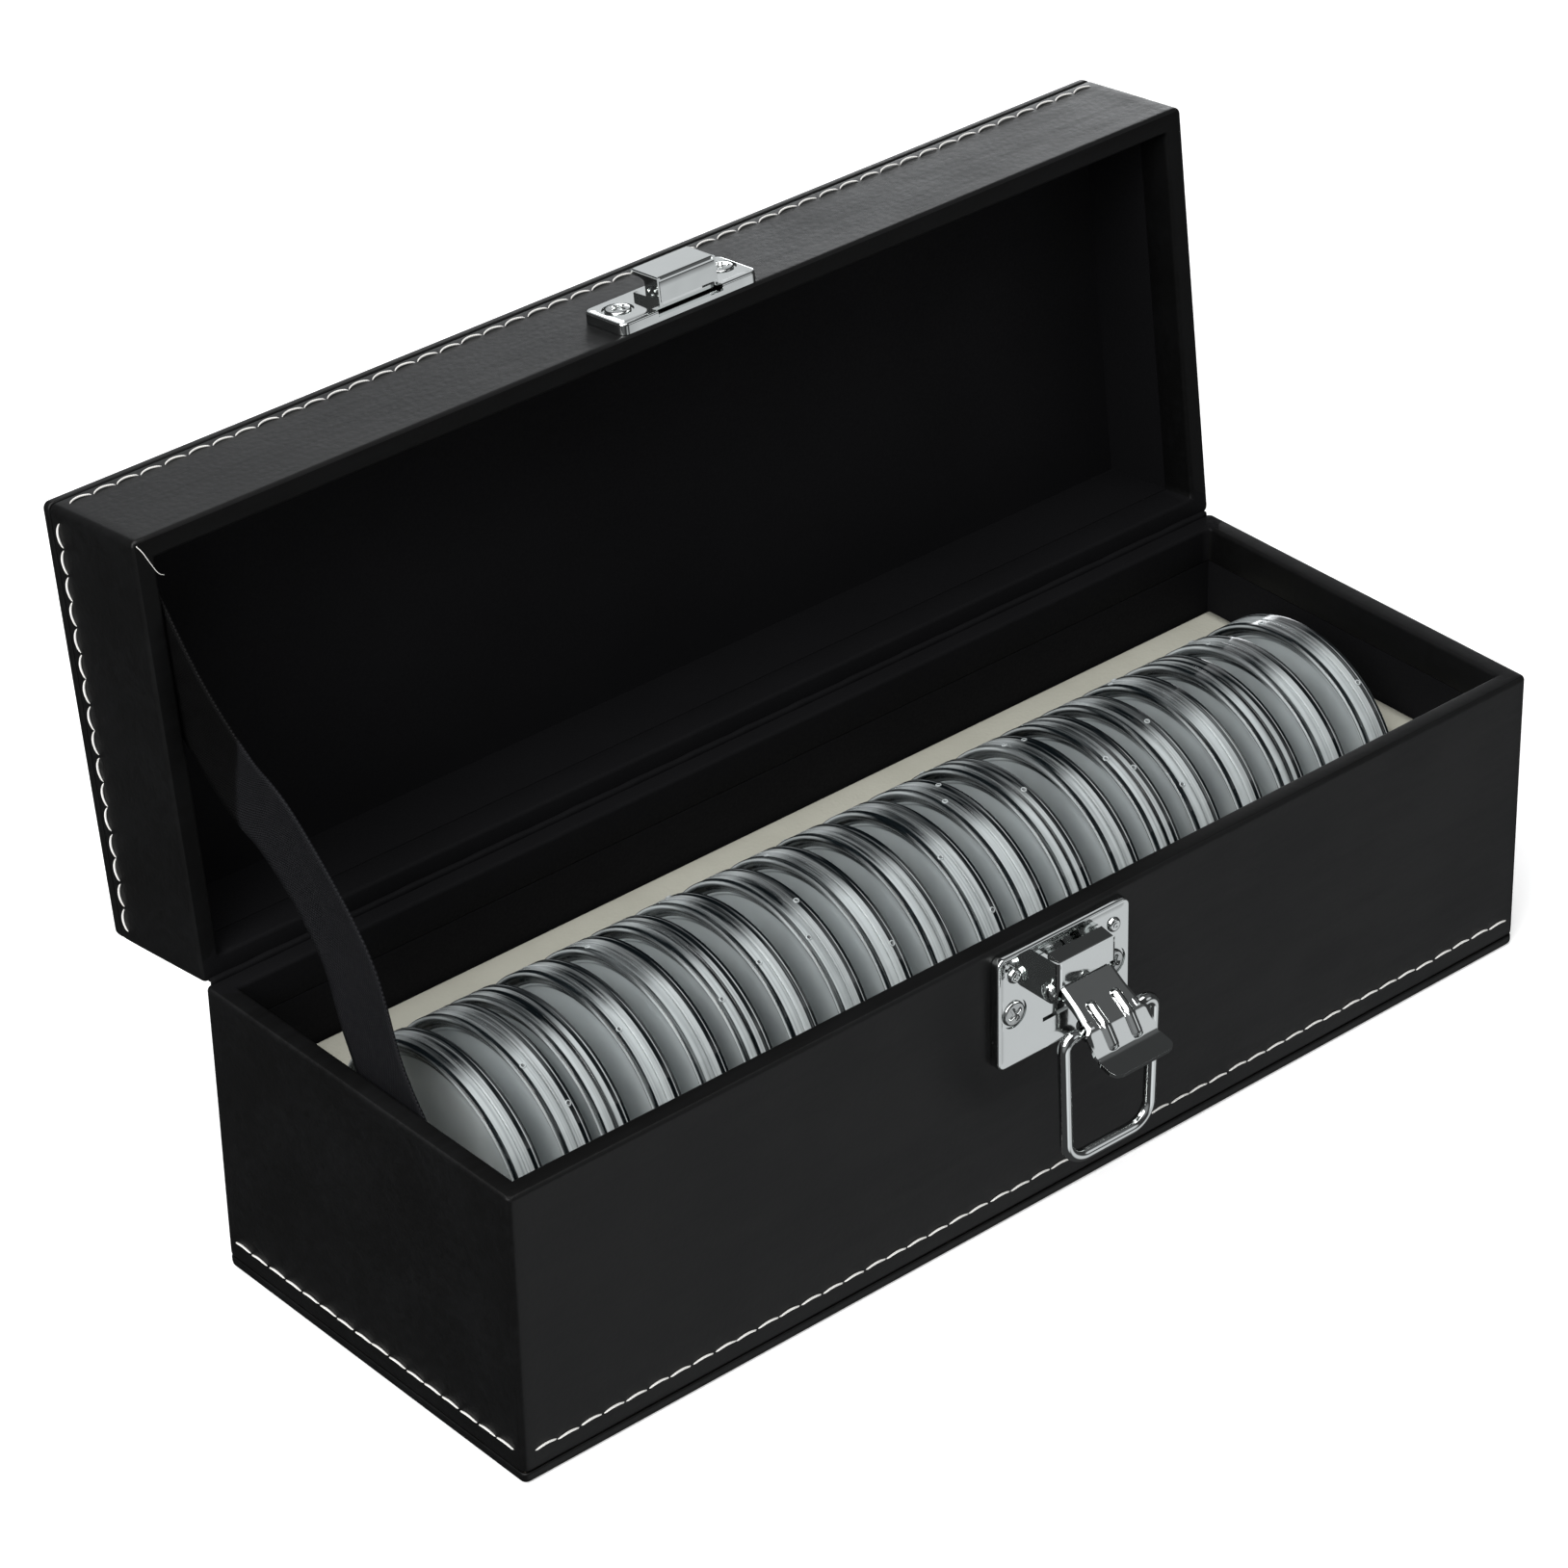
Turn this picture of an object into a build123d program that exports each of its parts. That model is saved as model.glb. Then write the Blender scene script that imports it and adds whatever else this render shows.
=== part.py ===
"""Hinged presentation case for a row of twenty coin capsules.

A board box covered in leatherette, with a foam trough for the capsules, a
cloth-backed hinge, a lid strap and a chromed toggle latch. The case stands
open: the lid leans back on its strap and the latch lever stands out.

Frame: X along the case, -Y the front, +Z up, origin on the underside at its
middle. Lid pieces are drawn in the closed lid's own frame, which is then
turned open about the hinge line.
"""

import os
from math import atan2, cos, degrees, pi, radians, sin, tan

from build123d import *

os.makedirs("parts", exist_ok=True)

# Case, in millimetres
case_length = 230.0
case_depth = 80.0
hinge_height = 57.0  # height of the hinge line above the table
lid_height = 26.0
lid_open = 96.54  # degrees between the closed and the open lid
rim_gap = 0.2  # each rim stops this far short of the hinge plane
cover = 0.7  # leatherette
board = 2.6
lining = 0.7
wall = cover + board + lining
corner_radius = 1.2
seam_height = 2.1  # the bottom and top panels' covers turn up this far
seam_gap = 0.2
turn_in = 7.0  # the cover folds this far down inside the rim
panel_edge = 1.1  # bevel of the panels' rear edges
hinge_leg = 6.0  # the hinge strip lies this far down each rear wall
hinge_length = case_length - 2 * corner_radius

# Foam insert and capsules
insert_top = 39.3
insert_play = 0.3
trough_length = 210.0
trough_radius = 26.0
# X of each capsule's middle, as they stand in the trough, about 10.2 apart
capsule_places = (
    -97.3, -86.9, -79.0, -68.2, -58.2, -48.7, -38.6, -27.7, -17.5, -7.1,
    3.7, 13.8, 23.8, 34.9, 44.8, 54.5, 64.8, 75.1, 85.3, 96.4,
)
capsule_radius = 25.5
capsule_face_radius = 22.3  # flat window in the middle of each face
capsule_bore_radius = 20.5
capsule_half = 3.1  # half of the closed capsule's thickness at its rim
capsule_dish = 1.0  # the windows lie this far below the rims
capsule_parting = 0.1  # the fine gap between a capsule's two halves
capsule_wall = 0.9
capsule_height = 31.5  # height of the row's axis
capsule_sides = 24  # each disc is drawn with this many sides

# Latch and catch, measured from the case's front face
latch_x = 1.3
sheet = 0.7  # chromed steel of the two plates
plate_width = 30.0
plate_proud = 1.8
plate_corner = 1.2
latch_plate_low, latch_plate_high = 33.3, 55.4
catch_plate_low, catch_plate_high = 0.6, 11.4
catch_proud = 2.1
catch_shift = -0.5  # the catch plate's middle from the latch's middle
catch_opening = 14.2  # width cut out of its front edge, under the hook
screw_spread = 22.6
latch_screw_height = 43.7
catch_screw_height = 6.9
pip_height = 51.3
screw_head_radius, screw_head_height = 2.75, 0.5
screw_shank_radius = 1.2
strap_sheet = 0.8  # steel of the bridge, the hook and the lever
bridge_width, bridge_proud = 13.2, 7.5
bridge_top, bridge_face_low = 54.6, 49.5
bridge_lip_back = 4.0
hook_width, hook_proud = 12.8, 7.2
hook_low, hook_lip = 1.5, 8.8
hook_foot = 2.75  # lower edge of the hook's wall, out from the lid
hook_slot_low, hook_slot_back = 3.1, 5.45  # slot in the cheeks for the bail's bar

# Lever and bail: (distance out from the front face, height)
lever_pivot = (5.2, 47.7)
lever_top, lever_bend = (7.3, 48.9), (14.7, 43.9)
lever_foot, lever_tip = (17.3, 40.0), (21.8, 39.0)
lever_narrow, lever_wide = 11.2, 14.0
bail_pivot = (12.6, 43.0)
bail_reach = 24.9
bail_wire = 1.15
bail_half_top, bail_half_foot = 10.2, 9.4
bail_neck = 0.9
bail_stub = 2.0  # full-size wire turned in from each leg, before the neck
pin_radius = 1.0
running_gap = 0.05

# Lid strap: Y and Z of its middle line, from the base to the lid
strap_width, strap_thick = 15.0, 0.8
strap_line = [
    (-11.0, 46.5),
    (-3.0, 57.0),
    (1.8, 64.0),
    (7.0, 74.2),
    (15.0, 83.0),
    (25.0, 91.7),
    (33.6, 97.2),
    (45.0, 108.5),
    (56.0, 121.0),
]

half_length, half_depth = case_length / 2, case_depth / 2
inner_length, inner_depth = case_length - 2 * wall, case_depth - 2 * wall
board_length, board_depth = case_length - 2 * cover, case_depth - 2 * cover
board_gap_length = board_length - 2 * board
board_gap_depth = board_depth - 2 * board


def save(piece, name):
    """Label a finished piece and write it as one STEP file."""
    piece.part.label = name
    export_step(piece.part, f"parts/{name}.step")


# The closed lid's frame has the case's axes and lies in the hinge plane; open,
# it has turned about the hinge line, which runs along the top rear edge.
lean = radians(lid_open)
lid_frame = Plane(
    origin=(0, half_depth - half_depth * cos(lean), hinge_height + half_depth * sin(lean)),
    x_dir=(1, 0, 0),
    z_dir=(0, sin(lean), cos(lean)),
)
# Both boxes are drawn standing on their closed side with the rim upwards.
base_box = Plane.XY
lid_box = Plane(
    origin=lid_frame.from_local_coords((0, 0, lid_height)),
    x_dir=lid_frame.x_dir,
    z_dir=-lid_frame.z_dir,
)
# On the front faces: x along the case, y up the face, z outwards.
base_front = Plane(origin=(latch_x, -half_depth, 0), x_dir=(1, 0, 0), z_dir=(0, -1, 0))
lid_front = Plane(
    origin=lid_frame.from_local_coords((latch_x, -half_depth, 0)),
    x_dir=lid_frame.x_dir,
    z_dir=-lid_frame.y_dir,
)


def side_view(front, across):
    """Plane square to a front face: x outwards, y up the face, normal to -X."""
    return Plane(
        origin=front.from_local_coords((across, 0, 0)),
        x_dir=front.z_dir,
        z_dir=-front.x_dir,
    )


# ---------------------------------------------------------------- box bodies
def make_board(name, box, size, centre):
    """One flat board; centre is the middle of its lower face."""
    with BuildPart(box) as piece:
        with Locations(centre):
            Box(*size, align=(Align.CENTER, Align.CENTER, Align.MIN))
    save(piece, name)


def make_boards(prefix, box, height, front_side):
    """The panel board and the four walls that stand on it, ends butted."""
    wall_foot = cover + board + 0.2
    wall_height = height - rim_gap - cover - wall_foot
    long_y = (board_depth - board) / 2
    short_x = (board_length - board) / 2
    panel = "floor" if prefix == "base" else "top"
    make_board(f"{prefix}_{panel}_board", box, (board_length, board_depth, board + 0.2), (0, 0, cover))
    long_wall = (board_length, board, wall_height)
    short_wall = (board, board_gap_depth, wall_height)
    make_board(f"{prefix}_front_board", box, long_wall, (0, front_side * long_y, wall_foot))
    make_board(f"{prefix}_back_board", box, long_wall, (0, -front_side * long_y, wall_foot))
    make_board(f"{prefix}_left_board", box, short_wall, (-short_x, 0, wall_foot))
    make_board(f"{prefix}_right_board", box, short_wall, (short_x, 0, wall_foot))


def make_wall_cover(name, box, height, front_side):
    """Leatherette round the walls, over the rim and down inside it.

    At the rear it stops short of the hinge line, where the hinge strip lies.
    """
    foot = seam_height + seam_gap
    rim = height - rim_gap
    with BuildPart() as piece:
        with BuildSketch(box.offset(foot)):
            RectangleRounded(case_length, case_depth, corner_radius)
        extrude(amount=rim - foot)
        with BuildSketch(box.offset(foot)):
            Rectangle(board_length, board_depth)
            Rectangle(board_gap_length, board_gap_depth, mode=Mode.SUBTRACT)
        extrude(amount=rim - cover - foot, mode=Mode.SUBTRACT)
        with BuildSketch(box.offset(foot)):
            Rectangle(board_gap_length, board_gap_depth)
        extrude(amount=rim - turn_in - foot, mode=Mode.SUBTRACT)
        with BuildSketch(box.offset(foot)):
            Rectangle(inner_length, inner_depth)
        extrude(amount=rim - foot, mode=Mode.SUBTRACT)
        with BuildSketch(box.offset(rim - hinge_leg)):
            with Locations((0, -front_side * (half_depth - cover / 2))):
                Rectangle(hinge_length + 0.2, cover)
        extrude(amount=hinge_leg, mode=Mode.SUBTRACT)
    save(piece, name)


def make_panel_cover(name, box, front_side):
    """Leatherette pan over the bottom or the top panel, rear edge rounded."""
    with BuildPart() as piece:
        with BuildSketch(box):
            RectangleRounded(case_length, case_depth, corner_radius)
        extrude(amount=seam_height)
        rear = box.from_local_coords((0, -front_side * half_depth, 0))
        with BuildSketch(Plane(origin=rear, x_dir=box.y_dir, z_dir=box.x_dir)):
            Rectangle(panel_edge * 2**0.5, panel_edge * 2**0.5, rotation=45)
        extrude(amount=half_length, both=True, mode=Mode.SUBTRACT)
        with BuildSketch(box.offset(cover)):
            Rectangle(board_length, board_depth)
        extrude(amount=seam_height, mode=Mode.SUBTRACT)
    save(piece, name)


def make_lining(name, box, height):
    """Folded lining tray: it covers the panel and the walls up to the turn-in."""
    foot = cover + board + 0.2
    top = height - rim_gap - turn_in - 0.1
    with BuildPart() as piece:
        with BuildSketch(box.offset(foot)):
            Rectangle(board_gap_length, board_gap_depth)
        extrude(amount=top - foot)
        with BuildSketch(box.offset(foot + lining)):
            Rectangle(inner_length, inner_depth)
        extrude(amount=top - foot, mode=Mode.SUBTRACT)
    save(piece, name)


make_boards("base", base_box, hinge_height, front_side=-1)
make_wall_cover("base_cover", base_box, hinge_height, front_side=-1)
make_panel_cover("base_bottom_cover", base_box, front_side=-1)
make_lining("base_lining", base_box, hinge_height)

# The lid's box stands rim upwards, so its front is on the other side of it.
make_boards("lid", lid_box, lid_height, front_side=1)
make_wall_cover("lid_cover", lid_box, lid_height, front_side=1)
make_panel_cover("lid_top_cover", lid_box, front_side=1)
make_lining("lid_lining", lid_box, lid_height)

# Hinge strip: one leatherette strip, flush in both rear walls, that bends on
# the hinge line. Its section is drawn across the case, open.
with BuildPart() as hinge_strip:
    hinge_line = Vector(half_depth, hinge_height)
    lid_wall_run = Vector(sin(lean), cos(lean))
    lid_wall_inward = Vector(-cos(lean), sin(lean))
    inner_base = hinge_line.X - cover
    inner_lid = hinge_line + lid_wall_inward * cover
    bend = inner_lid + lid_wall_run * ((inner_base - inner_lid.X) / lid_wall_run.X)
    leg_gap = 0.1
    leg = hinge_leg + rim_gap - leg_gap
    with BuildSketch(Plane.YZ.offset(-hinge_length / 2)):
        with BuildLine():
            Polyline(
                hinge_line,
                (half_depth, hinge_height - leg),
                (inner_base, hinge_height - leg),
                bend,
                inner_lid + lid_wall_run * leg,
                hinge_line + lid_wall_run * leg,
                close=True,
            )
        make_face()
    extrude(amount=hinge_length)
save(hinge_strip, "hinge_strip")

# ------------------------------------------------- foam insert and capsules
insert_foot = cover + board + 0.2 + lining
with BuildPart() as foam_insert:
    with BuildSketch(Plane.XY.offset(insert_foot)):
        Rectangle(inner_length - 2 * insert_play, inner_depth - 2 * insert_play)
    extrude(amount=insert_top - insert_foot)
    with BuildSketch(Plane.YZ.offset(-trough_length / 2)):
        with Locations((0, capsule_height)):
            Circle(trough_radius)
            Rectangle(2 * trough_radius, 2 * trough_radius, align=(Align.CENTER, Align.MIN))
    extrude(amount=trough_length, mode=Mode.SUBTRACT)
save(foam_insert, "foam_insert")


def make_capsule_half(middle, toward):
    """One clear half: a shallow cup with a straight rim, from which its face slopes in to a flat window."""
    parting = Plane(origin=(middle, 0, capsule_height), x_dir=(0, 1, 0), z_dir=(toward, 0, 0))
    slope = (capsule_radius - capsule_face_radius) * cos(pi / capsule_sides)
    with BuildPart() as half:
        with BuildSketch(parting.offset(capsule_parting / 2)):
            RegularPolygon(capsule_radius, capsule_sides)
        extrude(amount=capsule_half - capsule_parting / 2)
        with BuildSketch(parting.offset(capsule_half - capsule_dish)):
            RegularPolygon(capsule_face_radius, capsule_sides)
        extrude(
            amount=capsule_dish,
            taper=-degrees(atan2(slope, capsule_dish)),
            mode=Mode.SUBTRACT,
        )
        with BuildSketch(parting):
            RegularPolygon(capsule_bore_radius, capsule_sides)
        extrude(amount=capsule_half - capsule_dish - capsule_wall, mode=Mode.SUBTRACT)
    return half.part


for number, middle in enumerate(capsule_places, start=1):
    with BuildPart() as capsule:
        add(make_capsule_half(middle, -1))
        add(make_capsule_half(middle, 1))
    save(capsule, f"capsule_{number:02d}")

# ---------------------------------------------------------- latch and catch


def make_pan(name, front, low, high, proud, shift, window):
    """Pressed plate with turned edges, hollow behind, screw holes and an opening."""
    middle = (low + high) / 2
    screw_height = latch_screw_height if window else catch_screw_height
    with BuildPart() as pan:
        with BuildSketch(front):
            with Locations((shift, middle)):
                outline = Rectangle(plate_width, high - low)
            chamfer(outline.vertices(), length=plate_corner)
        extrude(amount=proud)
        chamfer(pan.faces().sort_by(Axis(front.origin, front.z_dir))[-1].edges(), length=0.4)
        with BuildSketch(front):
            with Locations((shift, middle)):
                Rectangle(plate_width - 2 * sheet, high - low - 2 * sheet)
        extrude(amount=proud - sheet, mode=Mode.SUBTRACT)
        with BuildSketch(front):
            with Locations((-screw_spread / 2, screw_height), (screw_spread / 2, screw_height)):
                Circle(screw_shank_radius)
        extrude(amount=proud, mode=Mode.SUBTRACT)
        with BuildSketch(front):
            if window:
                with Locations((0, 41.75)):
                    Rectangle(9.6, 5.5)
            else:
                with Locations((shift, low)):
                    Rectangle(catch_opening, 2 * (hook_low + strap_sheet - low))
        extrude(amount=proud, mode=Mode.SUBTRACT)
        if window:
            with BuildSketch(front.offset(proud)):
                with Locations((-screw_spread / 2, pip_height), (screw_spread / 2, pip_height)):
                    RegularPolygon(1.3, 6)
            extrude(amount=0.4)
    save(pan, name)


def make_screws(name, front, height, proud):
    """Two cross-recess screws whose shanks stop short of the box's inside."""
    with BuildPart() as screws:
        for side in (-1, 1):
            seat = front.offset(proud)
            with BuildSketch(seat):
                with Locations((side * screw_spread / 2, height)):
                    RegularPolygon(screw_head_radius, 12)
            head = extrude(amount=screw_head_height)
            rim = head.faces().sort_by(Axis(front.origin, front.z_dir))[-1]
            chamfer(rim.edges(), length=0.3)
            with BuildSketch(seat):
                with Locations((side * screw_spread / 2, height)):
                    RegularPolygon(screw_shank_radius - 0.05, 6)
            extrude(amount=-proud)
            with BuildSketch(seat.offset(screw_head_height)):
                with Locations((side * screw_spread / 2, height)):
                    Rectangle(2.8, 0.6)
                    Rectangle(0.6, 2.8)
            extrude(amount=-0.4, mode=Mode.SUBTRACT)
    save(screws, name)


make_pan("latch_plate", base_front, latch_plate_low, latch_plate_high, plate_proud, 0, window=True)
make_pan("catch_plate", lid_front, catch_plate_low, catch_plate_high, catch_proud, catch_shift, window=False)
make_screws("latch_screws", base_front, latch_screw_height, plate_proud)
make_screws("catch_screws", lid_front, catch_screw_height, catch_proud)

# Bridge: a channel of folded sheet on the latch plate, with a face, a lip
# folded back along its top and two cheeks that carry the lever's pin.
cheek_low = lever_pivot[1] - 2.3
with BuildPart() as latch_bridge:
    with BuildSketch(side_view(base_front, 0)):
        with Locations((plate_proud, cheek_low)):
            Rectangle(
                bridge_proud - plate_proud,
                bridge_top - cheek_low,
                align=(Align.MIN, Align.MIN),
            )
    extrude(amount=bridge_width / 2, both=True)
    knees = latch_bridge.edges().filter_by(Axis.X).sort_by(Axis((0, 0, 0), (0, -1, -1)))[-1]
    fillet(knees, radius=2.2)
    with BuildSketch(side_view(base_front, 0)):
        with Locations((plate_proud, cheek_low)):
            Rectangle(
                bridge_proud - strap_sheet - plate_proud,
                bridge_top - strap_sheet - cheek_low,
                align=(Align.MIN, Align.MIN),
            )
    extrude(amount=bridge_width / 2 - strap_sheet, both=True, mode=Mode.SUBTRACT)
    with BuildSketch(side_view(base_front, 0)):
        with Locations((plate_proud, cheek_low)):
            Rectangle(bridge_proud, bridge_face_low - cheek_low, align=(Align.MIN, Align.MIN))
        with Locations((plate_proud, bridge_top)):
            Rectangle(bridge_lip_back - plate_proud, 2.0, align=(Align.MIN, Align.MAX))
    extrude(amount=bridge_width / 2 - strap_sheet, both=True, mode=Mode.SUBTRACT)
    with BuildSketch(side_view(base_front, 0)):
        with Locations(lever_pivot):
            Circle(pin_radius + running_gap)
    extrude(amount=bridge_width / 2, both=True, mode=Mode.SUBTRACT)
save(latch_bridge, "latch_bridge")

# Lever pin, headed over outside both cheeks.
with BuildPart() as latch_pin:
    with BuildSketch(side_view(base_front, 0)):
        with Locations(lever_pivot):
            Circle(pin_radius)
    extrude(amount=bridge_width / 2 + 0.05, both=True)
    for side in (-1, 1):
        with BuildSketch(side_view(base_front, side * (bridge_width / 2 + 0.05))):
            with Locations(lever_pivot):
                RegularPolygon(1.6, 12)
        extrude(amount=-side * 0.7)
save(latch_pin, "latch_pin")

# Lever: a pressed strip with turned-back flanges that carry both pivots, a
# wider lower half and a thumb lip.
top_run = Vector(*lever_bend) - Vector(*lever_top)
top_along = top_run.normalized()
top_under = Vector(top_along.Y, -top_along.X)
foot_run = Vector(*lever_foot) - Vector(*lever_bend)
foot_under = Vector(foot_run.normalized().Y, -foot_run.normalized().X)
tip_run = Vector(*lever_tip) - Vector(*lever_foot)
tip_under = Vector(tip_run.normalized().Y, -tip_run.normalized().X)
bend_under = (top_under + foot_under) * (strap_sheet / (1 + top_under.dot(foot_under)))
foot_bend_under = (foot_under + tip_under) * (strap_sheet / (1 + foot_under.dot(tip_under)))
with BuildPart() as latch_lever:
    with BuildSketch(side_view(base_front, 0)):
        with BuildLine():
            Polyline(
                lever_top,
                lever_bend,
                Vector(*lever_bend) + bend_under,
                Vector(*lever_top) + top_under * strap_sheet,
                close=True,
            )
        make_face()
    extrude(amount=lever_narrow / 2, both=True)
    with BuildSketch(side_view(base_front, 0)):
        with BuildLine():
            Polyline(
                lever_bend,
                lever_foot,
                lever_tip,
                Vector(*lever_tip) + tip_under * strap_sheet,
                Vector(*lever_foot) + foot_bend_under,
                Vector(*lever_bend) + bend_under,
                close=True,
            )
        make_face()
    extrude(amount=lever_wide / 2, both=True)
    for side in (-1, 1):
        with BuildSketch(side_view(base_front, side * lever_narrow / 2)):
            with BuildLine():
                Polyline(
                    Vector(*lever_top) + top_under * 0.4,
                    Vector(*lever_bend) + bend_under * 0.5,
                    Vector(*lever_bend) + bend_under * 0.5 + foot_under * 1.8,
                    Vector(*lever_top) + top_under * 2.4,
                    close=True,
                )
            make_face()
            with Locations(lever_pivot, bail_pivot):
                RegularPolygon(2.0, 10)
            with Locations(lever_pivot):
                Circle(pin_radius + running_gap, mode=Mode.SUBTRACT)
            with Locations(bail_pivot):
                Circle(bail_neck + running_gap, mode=Mode.SUBTRACT)
        extrude(amount=side * strap_sheet)
    tip_corners = latch_lever.edges().filter_by(GeomType.LINE)
    tip_corners = tip_corners.filter_by(lambda e: abs(e.length - strap_sheet) < 0.01)
    fillet(tip_corners.sort_by(Axis((0, 0, 0), (0, -1, 0)))[-2:], radius=1.6)
save(latch_lever, "latch_lever")


def bent(corner, before, after, radius, steps):
    """Points along the arc of a bend at a corner, from one neighbour to the next."""
    toward, onward = (before - corner).normalized(), (after - corner).normalized()
    half_angle = radians(toward.get_angle(onward)) / 2
    middle = corner + (toward + onward).normalized() * (radius / sin(half_angle))
    start = (corner + toward * (radius / tan(half_angle)) - middle).normalized()
    turns = [(pi - 2 * half_angle) * step / steps for step in range(steps + 1)]
    return [middle + (start * cos(turn) - toward * sin(turn)) * radius for turn in turns]


# Bail: one bent wire loop; its necked ends turn in through the lever's flanges.
bail_plane = Plane(
    origin=(latch_x, -half_depth - bail_pivot[0], bail_pivot[1]),
    x_dir=(1, 0, 0),
    z_dir=(0, -1, 0),
)
wire_corners = [
    Vector(-(bail_half_top - bail_stub), 0),
    Vector(-bail_half_top, 0),
    Vector(-bail_half_foot, -bail_reach),
    Vector(bail_half_foot, -bail_reach),
    Vector(bail_half_top, 0),
    Vector(bail_half_top - bail_stub, 0),
]
wire_points = [wire_corners[0]]
for index, bend_radius, steps in ((1, 1.5, 2), (2, 4.2, 4), (3, 4.2, 4), (4, 1.5, 2)):
    before, corner, after = wire_corners[index - 1 : index + 2]
    wire_points += bent(corner, before, after, bend_radius, steps)
wire_points.append(wire_corners[-1])
with BuildPart() as latch_bail:
    with BuildLine() as bail_line:
        Polyline(*[bail_plane.from_local_coords(point) for point in wire_points])
    with BuildSketch(Plane(origin=bail_line.line @ 0, x_dir=(0, 1, 0), z_dir=bail_line.line % 0)):
        RegularPolygon(bail_wire, 10)
    sweep(path=bail_line.line, transition=Transition.RIGHT)
    for side in (-1, 1):
        with BuildSketch(side_view(base_front, side * (bail_half_top - bail_stub))):
            with Locations(bail_pivot):
                Circle(bail_neck)
        extrude(amount=side * 4.0)
save(latch_bail, "latch_bail")

# Catch hook: a folded hood whose cheeks are slotted from the back for the bail's bar.
with BuildPart() as catch_hook:
    with BuildSketch(side_view(lid_front, 0)):
        with Locations((catch_proud, hook_low)):
            Rectangle(
                hook_proud - catch_proud,
                hook_lip - hook_low,
                align=(Align.MIN, Align.MIN),
            )
    extrude(amount=hook_width / 2, both=True)
    with BuildSketch(side_view(lid_front, 0)):
        with Locations((catch_proud, hook_low + strap_sheet)):
            Rectangle(
                hook_proud - catch_proud - strap_sheet,
                hook_lip,
                align=(Align.MIN, Align.MIN),
            )
        with Locations((catch_proud, hook_low)):
            Rectangle(hook_foot - catch_proud, strap_sheet, align=(Align.MIN, Align.MIN))
    extrude(amount=hook_width / 2 - strap_sheet, both=True, mode=Mode.SUBTRACT)
    with BuildSketch(side_view(lid_front, 0)):
        with Locations((hook_slot_low, hook_slot_back)):
            Rectangle(
                hook_proud - strap_sheet - hook_slot_low,
                hook_lip,
                align=(Align.MIN, Align.MIN),
            )
    extrude(amount=hook_width / 2, both=True, mode=Mode.SUBTRACT)
save(catch_hook, "catch_hook")

# Lid strap: a flat ribbon along the left walls, from the base up into the lid.
with BuildPart() as lid_strap:
    edges_of_strap = []
    for side in (1, -1):
        edge = []
        for index, point in enumerate(strap_line):
            before = Vector(*strap_line[max(index - 1, 0)])
            after = Vector(*strap_line[min(index + 1, len(strap_line) - 1)])
            run = (after - before).normalized()
            edge.append(Vector(*point) + Vector(-run.Y, run.X) * (side * strap_width / 2))
        edges_of_strap += edge if side == 1 else edge[::-1]
    with BuildSketch(Plane.YZ.offset(-inner_length / 2)):
        with BuildLine():
            Polyline(*edges_of_strap, close=True)
        make_face()
    extrude(amount=strap_thick)
save(lid_strap, "lid_strap")
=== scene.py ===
"""A leatherette coin case, lid open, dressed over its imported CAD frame.

Lengths in this file are millimetres in the case's frame, turned to metres when
a mesh is made. Lid shapes are worked out on the closed lid and then opened.
"""
import math

import bmesh
import bpy
import numpy as np
from mathutils import Matrix, Vector


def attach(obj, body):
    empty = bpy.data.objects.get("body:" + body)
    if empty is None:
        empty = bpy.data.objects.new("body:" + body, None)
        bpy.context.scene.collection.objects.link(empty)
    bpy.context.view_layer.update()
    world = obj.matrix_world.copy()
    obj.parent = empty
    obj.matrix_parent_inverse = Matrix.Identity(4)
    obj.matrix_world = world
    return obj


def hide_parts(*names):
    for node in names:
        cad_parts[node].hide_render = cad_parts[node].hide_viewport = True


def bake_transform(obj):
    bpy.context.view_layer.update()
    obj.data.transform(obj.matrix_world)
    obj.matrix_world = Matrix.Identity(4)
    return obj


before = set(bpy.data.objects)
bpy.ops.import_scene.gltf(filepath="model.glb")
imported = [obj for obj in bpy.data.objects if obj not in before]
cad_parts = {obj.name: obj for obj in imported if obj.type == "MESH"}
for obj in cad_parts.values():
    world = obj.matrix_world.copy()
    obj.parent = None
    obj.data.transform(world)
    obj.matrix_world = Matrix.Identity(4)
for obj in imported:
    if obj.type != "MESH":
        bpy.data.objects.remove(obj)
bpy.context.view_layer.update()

rng = np.random.default_rng(2601)

# ------------------------ driving values
HALF_X, HALF_Y = 115.0, 40.0  # half the case's length and depth
HINGE_Z, LID_H = 57.0, 26.0  # the base's height, where the hinge is, and the shut lid's
LEAN = math.radians(96.54)  # how far the lid stands open
CORNER, WALL = 1.3, 4.0  # radius of the upright corners; the covered walls' thickness
COVER = 0.7  # leatherette with its glue
LATCH_X = 1.3  # the latch's middle, right of the case's
PIN = (5.2, 47.7)  # the lever's pivot: distance out from the front face, height
BAIL = (12.6, 43.0)  # the wire's pivot on the lever, the same way
SCREW_U = 11.3  # screws and rivets, each side of the latch's middle
BASE_SCREW_V, LID_SCREW_V = 43.7, 6.9  # the screws' heights on the base's face and on the lid's
PLATE_PROUD, CATCH_PROUD = 1.8, 2.1  # how far the two plates' faces stand off the wall
SHEET, EASE = 0.8, 0.14  # steel of the bridge and the hood; how far their edges are eased
CAPSULE_Z, CAPSULE_R = 31.5, 25.5  # height of the capsules' axis; their radius
CAPSULE_FIT = 0.98  # the clear capsules' size across, against the solids'
CAPSULES = [f"capsule_{i:02d}" for i in range(1, 21)]
CAPSULE_X = [-97.3, -86.9, -79.0, -68.2, -58.2, -48.7, -38.6, -27.7, -17.5, -7.1,
             3.7, 13.8, 23.8, 34.9, 44.8, 54.5, 64.8, 75.1, 85.3, 96.4]


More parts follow.
